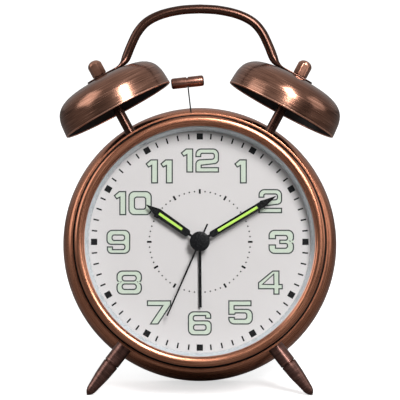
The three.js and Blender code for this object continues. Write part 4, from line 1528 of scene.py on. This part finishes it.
@dataclass
class BackCover:
    """The back of the case, with its battery door, screws, knobs and switch."""

    gap: float = 0.4
    wall: float = 1.2
    bay_floor: float = 21.0
    thickness: float = 1.8
    spigot: tuple[float, float, float] = (56.6, 57.9, 31.5)
    ring_groove: tuple[float, float] = (53.2, 54.6)  # its inner and its outer edge
    groove_depth: float = 0.5
    rounds: int = 240
    sound_slots: tuple[float, ...] = (15.5, 18.0, 20.5, 23.0)
    slot_half: float = 11.0
    slot_rise: float = 0.6
    switch_slot: tuple[float, float] = (4.6, 1.6)
    grips: int = 7
    grip_pitch: float = 1.3
    cap_depth: float = 6.8
    thumb: tuple[float, float] = (3.0, 8.0)  # where it starts and ends on the slider
    ribs: int = 30
    rib: tuple[float, float] = (0.1, 0.08)  # how far a knob's ribs stand out, and its grooves in

    def make_shell(self) -> None:
        """Makes the moulded back, with the battery bay behind its door and the sounder's slots."""
        cover = HUB.span("back_cover")
        inner, outer, front = self.spigot
        back, seat = cover.high, cover.high - self.thickness
        disc = [(0, seat), (inner, seat), (inner, front), (outer, front), (outer, seat), (cover.radius, seat)]
        disc += [(cover.radius, back - 0.6), (cover.radius - 0.2, back - 0.2), (cover.radius - 0.6, back)]
        near, far = self.ring_groove
        deep = back - self.groove_depth
        disc += [(far, back), (far - 0.4, deep), (near + 0.4, deep), (near, back), (0, back)]
        mesh = lathe(disc, self.rounds)
        piece = publish("back_shell", mesh, (BLACK_PLASTIC,), "case", ("back_cover",))
        low, high = box_of("battery_door")
        x, bottom, top = high.x + self.gap, low.z - self.gap, high.z + self.gap
        carve(piece, block((-x, seat - 1, bottom), (x, back + 1, top)))
        openings = [(z, self.slot_half, self.slot_rise) for z in self.sound_slots]
        openings.append((middle_of("alarm_switch").z, *self.switch_slot))
        cutters = [block((-w, seat - 1, z - h), (w, back + 1, z + h)) for z, w, h in openings]
        carve(piece, joined(cutters))
        wall, floor = self.wall, self.bay_floor
        walls = [
            block((-x - wall, floor - wall, bottom - wall), (x + wall, floor, top + wall)),
            block((-x - wall, floor, bottom - wall), (-x, seat + 0.1, top + wall)),
            block((x, floor, bottom - wall), (x + wall, seat + 0.1, top + wall)),
            block((-x, floor, bottom - wall), (x, seat + 0.1, bottom)),
            block((-x, floor, top), (x, seat + 0.1, top + wall)),
        ]
        publish("battery_bay", joined(walls), (BLACK_PLASTIC,), "case")

    def make_door(self) -> None:
        """Makes the battery door, with grip ribs and a latch at its lower edge."""
        low, high = box_of("battery_door")
        face = high.y - 0.5
        parts = [block(low, (high.x, face, high.z), 0.35)]
        for i in range(self.grips):
            z = low.z + 3.2 + self.grip_pitch * i
            parts.append(block((-9, face - 0.2, z - 0.3), (9, high.y, z + 0.3), 0.12))
        parts.append(block((-4, low.y - 1.6, low.z + 0.2), (4, low.y + 0.3, low.z + 1.2), 0.2))
        publish("door_panel", joined(parts), (BLACK_PLASTIC,), "door", ("battery_door",))

    def make_screws(self) -> None:
        """Makes the three cross-headed screws."""
        for index in (1, 2, 3):
            node = f"back_screw_{index}"
            low, high = box_of(node)
            middle = (low + high) / 2
            seat, top, radius = high.y - 1.4, high.y, (high.x - low.x) / 2
            profile = [(0, low.y), (1.1, low.y + 0.8), (1.1, seat), (radius, seat), (radius, seat + 0.6)]
            profile += [(radius - 0.35, top - 0.4), (radius - 0.95, top - 0.1), (0, top)]
            at = Matrix.Translation((middle.x, 0, middle.z))
            mesh = moved(lathe(profile, 32), at)
            piece = publish(node + "_head", mesh, (STEEL,), "case", (node,))
            cross = [block((-a, top - 0.8, -b), (a, top + 1, b)) for a, b in ((1.3, 0.22), (0.22, 1.3))]
            for part in cross:
                carve(piece, moved(part, at))

    def make_knob(self, node: str, body: str) -> None:
        """Makes the ribbed cap of a setting knob.

        Args:
            node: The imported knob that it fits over.
            body: The body that it rides on.
        """
        low, high = box_of(node)
        middle = (low + high) / 2
        radius = (high.x - low.x) / 2
        outline = []
        out, into = self.rib
        for i in range(4 * self.ribs):
            reach = radius + (out if i % 4 in (0, 1) else -into)
            angle = TURN * i / (4 * self.ribs)
            outline.append((reach * math.cos(angle), reach * math.sin(angle)))
        top = high.y
        cap = plate([outline], top + 0.12, top - self.cap_depth, 0.5)
        rim = [(radius - 1.7, top), (radius - 1.5, top + 0.3), (radius - 1.1, top + 0.3), (radius - 0.9, top)]
        pointer = block((-0.35, top, 1.2), (0.35, top + 0.35, radius - 1.9), 0.1)
        mesh = moved(joined([cap, lathe(rim, SMALL), pointer]), Matrix.Translation((middle.x, 0, middle.z)))
        publish(node + "_cap", mesh, (BLACK_PLASTIC,), body)

    def make_switch(self) -> None:
        """Makes the ridged thumb of the alarm switch."""
        low, high = box_of("alarm_switch")
        left, right = (low.x + reach for reach in self.thumb)
        top, middle = high.y, (low.z + high.z) / 2
        parts = [block((left - 0.1, top - 2, middle - 2.7), (right + 0.1, top + 0.1, middle + 2.7), 0.3)]
        for i in range(4):
            x = left + 1 + i
            parts.append(block((x - 0.22, top, middle - 2.2), (x + 0.22, top + 0.45, middle + 2.2), 0.12))
        publish("switch_thumb", joined(parts), (WHITE_PLASTIC,), "switch")

    def build(self) -> None:
        """Makes the pieces of the back."""
        self.make_shell()
        self.make_door()
        self.make_screws()
        self.make_knob("time_knob", "time_setting")
        self.make_knob("alarm_knob", "alarm_setting")
        self.make_switch()


@dataclass
class Cells:
    """The two cells in the battery bay."""

    nub: float = 1.3
    nub_radius: float = 2.7
    sleeve: float = 13.0  # length of the coloured band
    paint: tuple[int, ...] = (0, 0, 0, 0, 1, 2, 2, 2)  # bare metal, the wrap and its band

    def make_cell(self, node: str, direction: int) -> None:
        """Makes one cell, with a plain two-colour sleeve.

        Args:
            node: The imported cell.
            direction: 1 if its nub points to +X, or -1.
        """
        low, high = box_of(node)
        middle = (low + high) / 2
        radius = (high.z - low.z) / 2
        length = high.x - low.x - self.nub
        nub, tip = self.nub_radius, length + self.nub
        profile = [(0, 0.3), (radius - 1.1, 0.3), (radius - 0.9, 0), (radius - 0.3, 0), (radius, 0.3)]
        profile += [(radius, length - self.sleeve), (radius, length - 0.5), (radius - 0.3, length - 0.1)]
        profile += [(radius - 1, length), (nub, length - 0.2), (nub, tip - 0.3), (nub - 0.3, tip), (0, tip)]
        start = middle.x - direction * (high.x - low.x) / 2
        axis = Axis(Vector((start, middle.y, middle.z)), Vector((direction, 0, 0)))
        mesh = moved(lathe(profile, SMALL, self.paint), axis.matrix)
        publish(node + "_sleeved", mesh, (STEEL, CELL_WRAP, CELL_BAND), "case", (node,))

    def build(self) -> None:
        """Makes both cells."""
        self.make_cell("battery_1", 1)
        self.make_cell("battery_2", -1)


@dataclass
class Innards:
    """The pieces inside the case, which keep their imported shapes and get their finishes."""

    finishes: dict[str, Finish] = field(default_factory=lambda: {
        "copper_case": Metal("plain_case", (0.5, 0.2, 0.115), 0.3),
        "copper_bell": Metal("plain_bell", (0.31, 0.155, 0.11), 0.3),
        "dark_copper": Metal("plain_copper", (0.2, 0.085, 0.056), 0.3),
        "bright_steel": STEEL,
        "brass_train": BRASS,
        "black_plastic": BLACK_PLASTIC,
        "white_plastic": WHITE_PLASTIC,
        "grey_flange": GREY_RING,
        "dial_face": DIAL_PAINT,
        "lens_glass": LENS,
        "black_rubber": RUBBER,
        "hand_black": HAND_PAINT,
        "magnet": MAGNET,
        "coil_wire": WINDING,
        "circuit": BOARD,
        "battery_skin": CELL_WRAP,
    })

    def build(self) -> None:
        """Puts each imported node's finish on it."""
        for row in frame["record"]["subparts"]:
            data = frame["nodes"][row["node"]].data
            data.materials.clear()
            data.materials.append(material_of(self.finishes[row["material_slot"]]))
            log.info("%s wears %s", row["node"], row["material_slot"])


@dataclass(frozen=True)
class Softbox:
    """A soft light: its place and its width and height in metres, and its power in watts."""

    name: str
    place: tuple[float, float, float]
    size: tuple[float, float]
    power: float


@dataclass
class Studio:
    """The floor, the lights and the camera."""

    camera_distance: float = 1.6
    camera_height: float = 9.3
    focal: float = 335.0
    aim: tuple[float, float] = (0.09, 18.0)  # X and Z in the clock's frame
    floor: float = 6.0
    lit_height: float = 0.08
    boxes: tuple[Softbox, ...] = (
        Softbox("key", (0.39, -1.13, 1.02), (0.4, 0.75), 25),
        Softbox("left", (-1.4, -0.5, 0.8), (1.1, 1.1), 8),
        Softbox("right", (1.5, -0.35, 0.5), (0.9, 0.9), 3),
    )
    # how bright the room is by height and by depth, each from -1 to 1 mapped to 0 to 1
    room: dict[str, tuple[tuple[float, float], ...]] = field(default_factory=lambda: {
        "Z": ((0.0, 0.03), (0.5, 0.05), (0.62, 0.14), (0.8, 0.3), (1.0, 0.42)),
        "Y": ((0.0, 0.02), (0.5, 0.08), (0.62, 0.17), (0.85, 0.24), (1.0, 0.26)),
    })

    def make_floor(self) -> None:
        """Makes a wide pale floor."""
        mesh = bmesh.new()
        bmesh.ops.create_grid(mesh, x_segments=8, y_segments=8, size=self.floor)
        data = bpy.data.meshes.new("floor")
        mesh.to_mesh(data)
        mesh.free()
        shader = Shader("floor_paper")
        seen = shader.node("LightPath").outputs["Is Camera Ray"]
        shader.link(shader.ramp(seen, ((0.0, (0.16, 0.155, 0.15)), (1.0, (0.85, 0.85, 0.85)))), "Base Color")
        shader.link(shader.ramp(seen, ((0.0, (0.0, 0.0, 0.0)), (1.0, (0.62, 0.62, 0.62)))), "Emission Color")
        shader.set(Roughness=0.9, Emission_Strength=1.0)
        data.materials.append(shader.material)
        floor = bpy.data.objects.new("floor", data)
        bpy.context.scene.collection.objects.link(floor)

    def make_light(self, box: Softbox) -> None:
        """Makes a softbox that faces the clock.

        Args:
            box: Where it stands, how large it is and how strong.
        """
        data = bpy.data.lights.new(box.name, "AREA")
        data.shape = "RECTANGLE"
        data.size, data.size_y = box.size
        data.energy = box.power
        light = bpy.data.objects.new(box.name, data)
        light.location = box.place
        facing = Vector(box.place) - Vector((0, 0, self.lit_height))
        light.rotation_euler = facing.to_track_quat("Z", "Y").to_euler()
        bpy.context.scene.collection.objects.link(light)

    def make_world(self) -> None:
        """Makes the room: brighter above and behind the clock than round the camera."""
        world = bpy.data.worlds.new("studio")
        world.use_nodes = True
        bpy.context.scene.world = world
        tree = world.node_tree
        tree.nodes.clear()
        output = tree.nodes.new("ShaderNodeOutputWorld")
        room = tree.nodes.new("ShaderNodeBackground")
        place = tree.nodes.new("ShaderNodeTexCoord")
        split = tree.nodes.new("ShaderNodeSeparateXYZ")
        total = tree.nodes.new("ShaderNodeMath")
        total.operation = "ADD"
        tree.links.new(place.outputs["Generated"], split.inputs[0])
        for index, (axis, stops) in enumerate(self.room.items()):
            shift = tree.nodes.new("ShaderNodeMapRange")
            shift.inputs["From Min"].default_value = -1
            ramp = tree.nodes.new("ShaderNodeValToRGB")
            while len(ramp.color_ramp.elements) < len(stops):
                ramp.color_ramp.elements.new(1)
            for element, (position, level) in zip(ramp.color_ramp.elements, stops):
                element.position = position
                element.color = (level, level, level, 1)
            tree.links.new(split.outputs[axis], shift.inputs["Value"])
            tree.links.new(shift.outputs[0], ramp.inputs[0])
            tree.links.new(ramp.outputs[0], total.inputs[index])
        tree.links.new(total.outputs[0], room.inputs["Color"])
        tree.links.new(room.outputs[0], output.inputs[0])

    def make_camera(self) -> None:
        """Makes the camera, straight in front of the clock and a little above it."""
        data = bpy.data.cameras.new("camera")
        data.lens = self.focal
        data.clip_end = 30
        camera = bpy.data.objects.new("camera", data)
        target = CLOCK @ Vector((self.aim[0], 0, self.aim[1]))
        rise = math.radians(self.camera_height)
        away = Vector((0, -math.cos(rise), math.sin(rise)))
        camera.location = target + away * self.camera_distance
        camera.rotation_euler = away.to_track_quat("Z", "Y").to_euler()
        bpy.context.scene.collection.objects.link(camera)
        bpy.context.scene.camera = camera

    def build(self) -> None:
        """Makes the studio."""
        self.make_camera()
        self.make_floor()
        self.make_world()
        for box in self.boxes:
            self.make_light(box)
        bpy.context.scene.view_settings.view_transform = "Standard"


def main() -> None:
    """Builds the studio and then the clock, one sub-assembly after another."""
    logging.basicConfig(level=logging.INFO, format="%(message)s")
    Studio().build()
    Innards().build()
    Case().build()
    Dial().build()
    Hands().build()
    for side in SIDES:
        Bell(side).build()
        Leg(side).build()
    Handle().build()
    Hammer().build()
    BackCover().build()
    Cells().build()


if __name__ == "__main__":
    main()
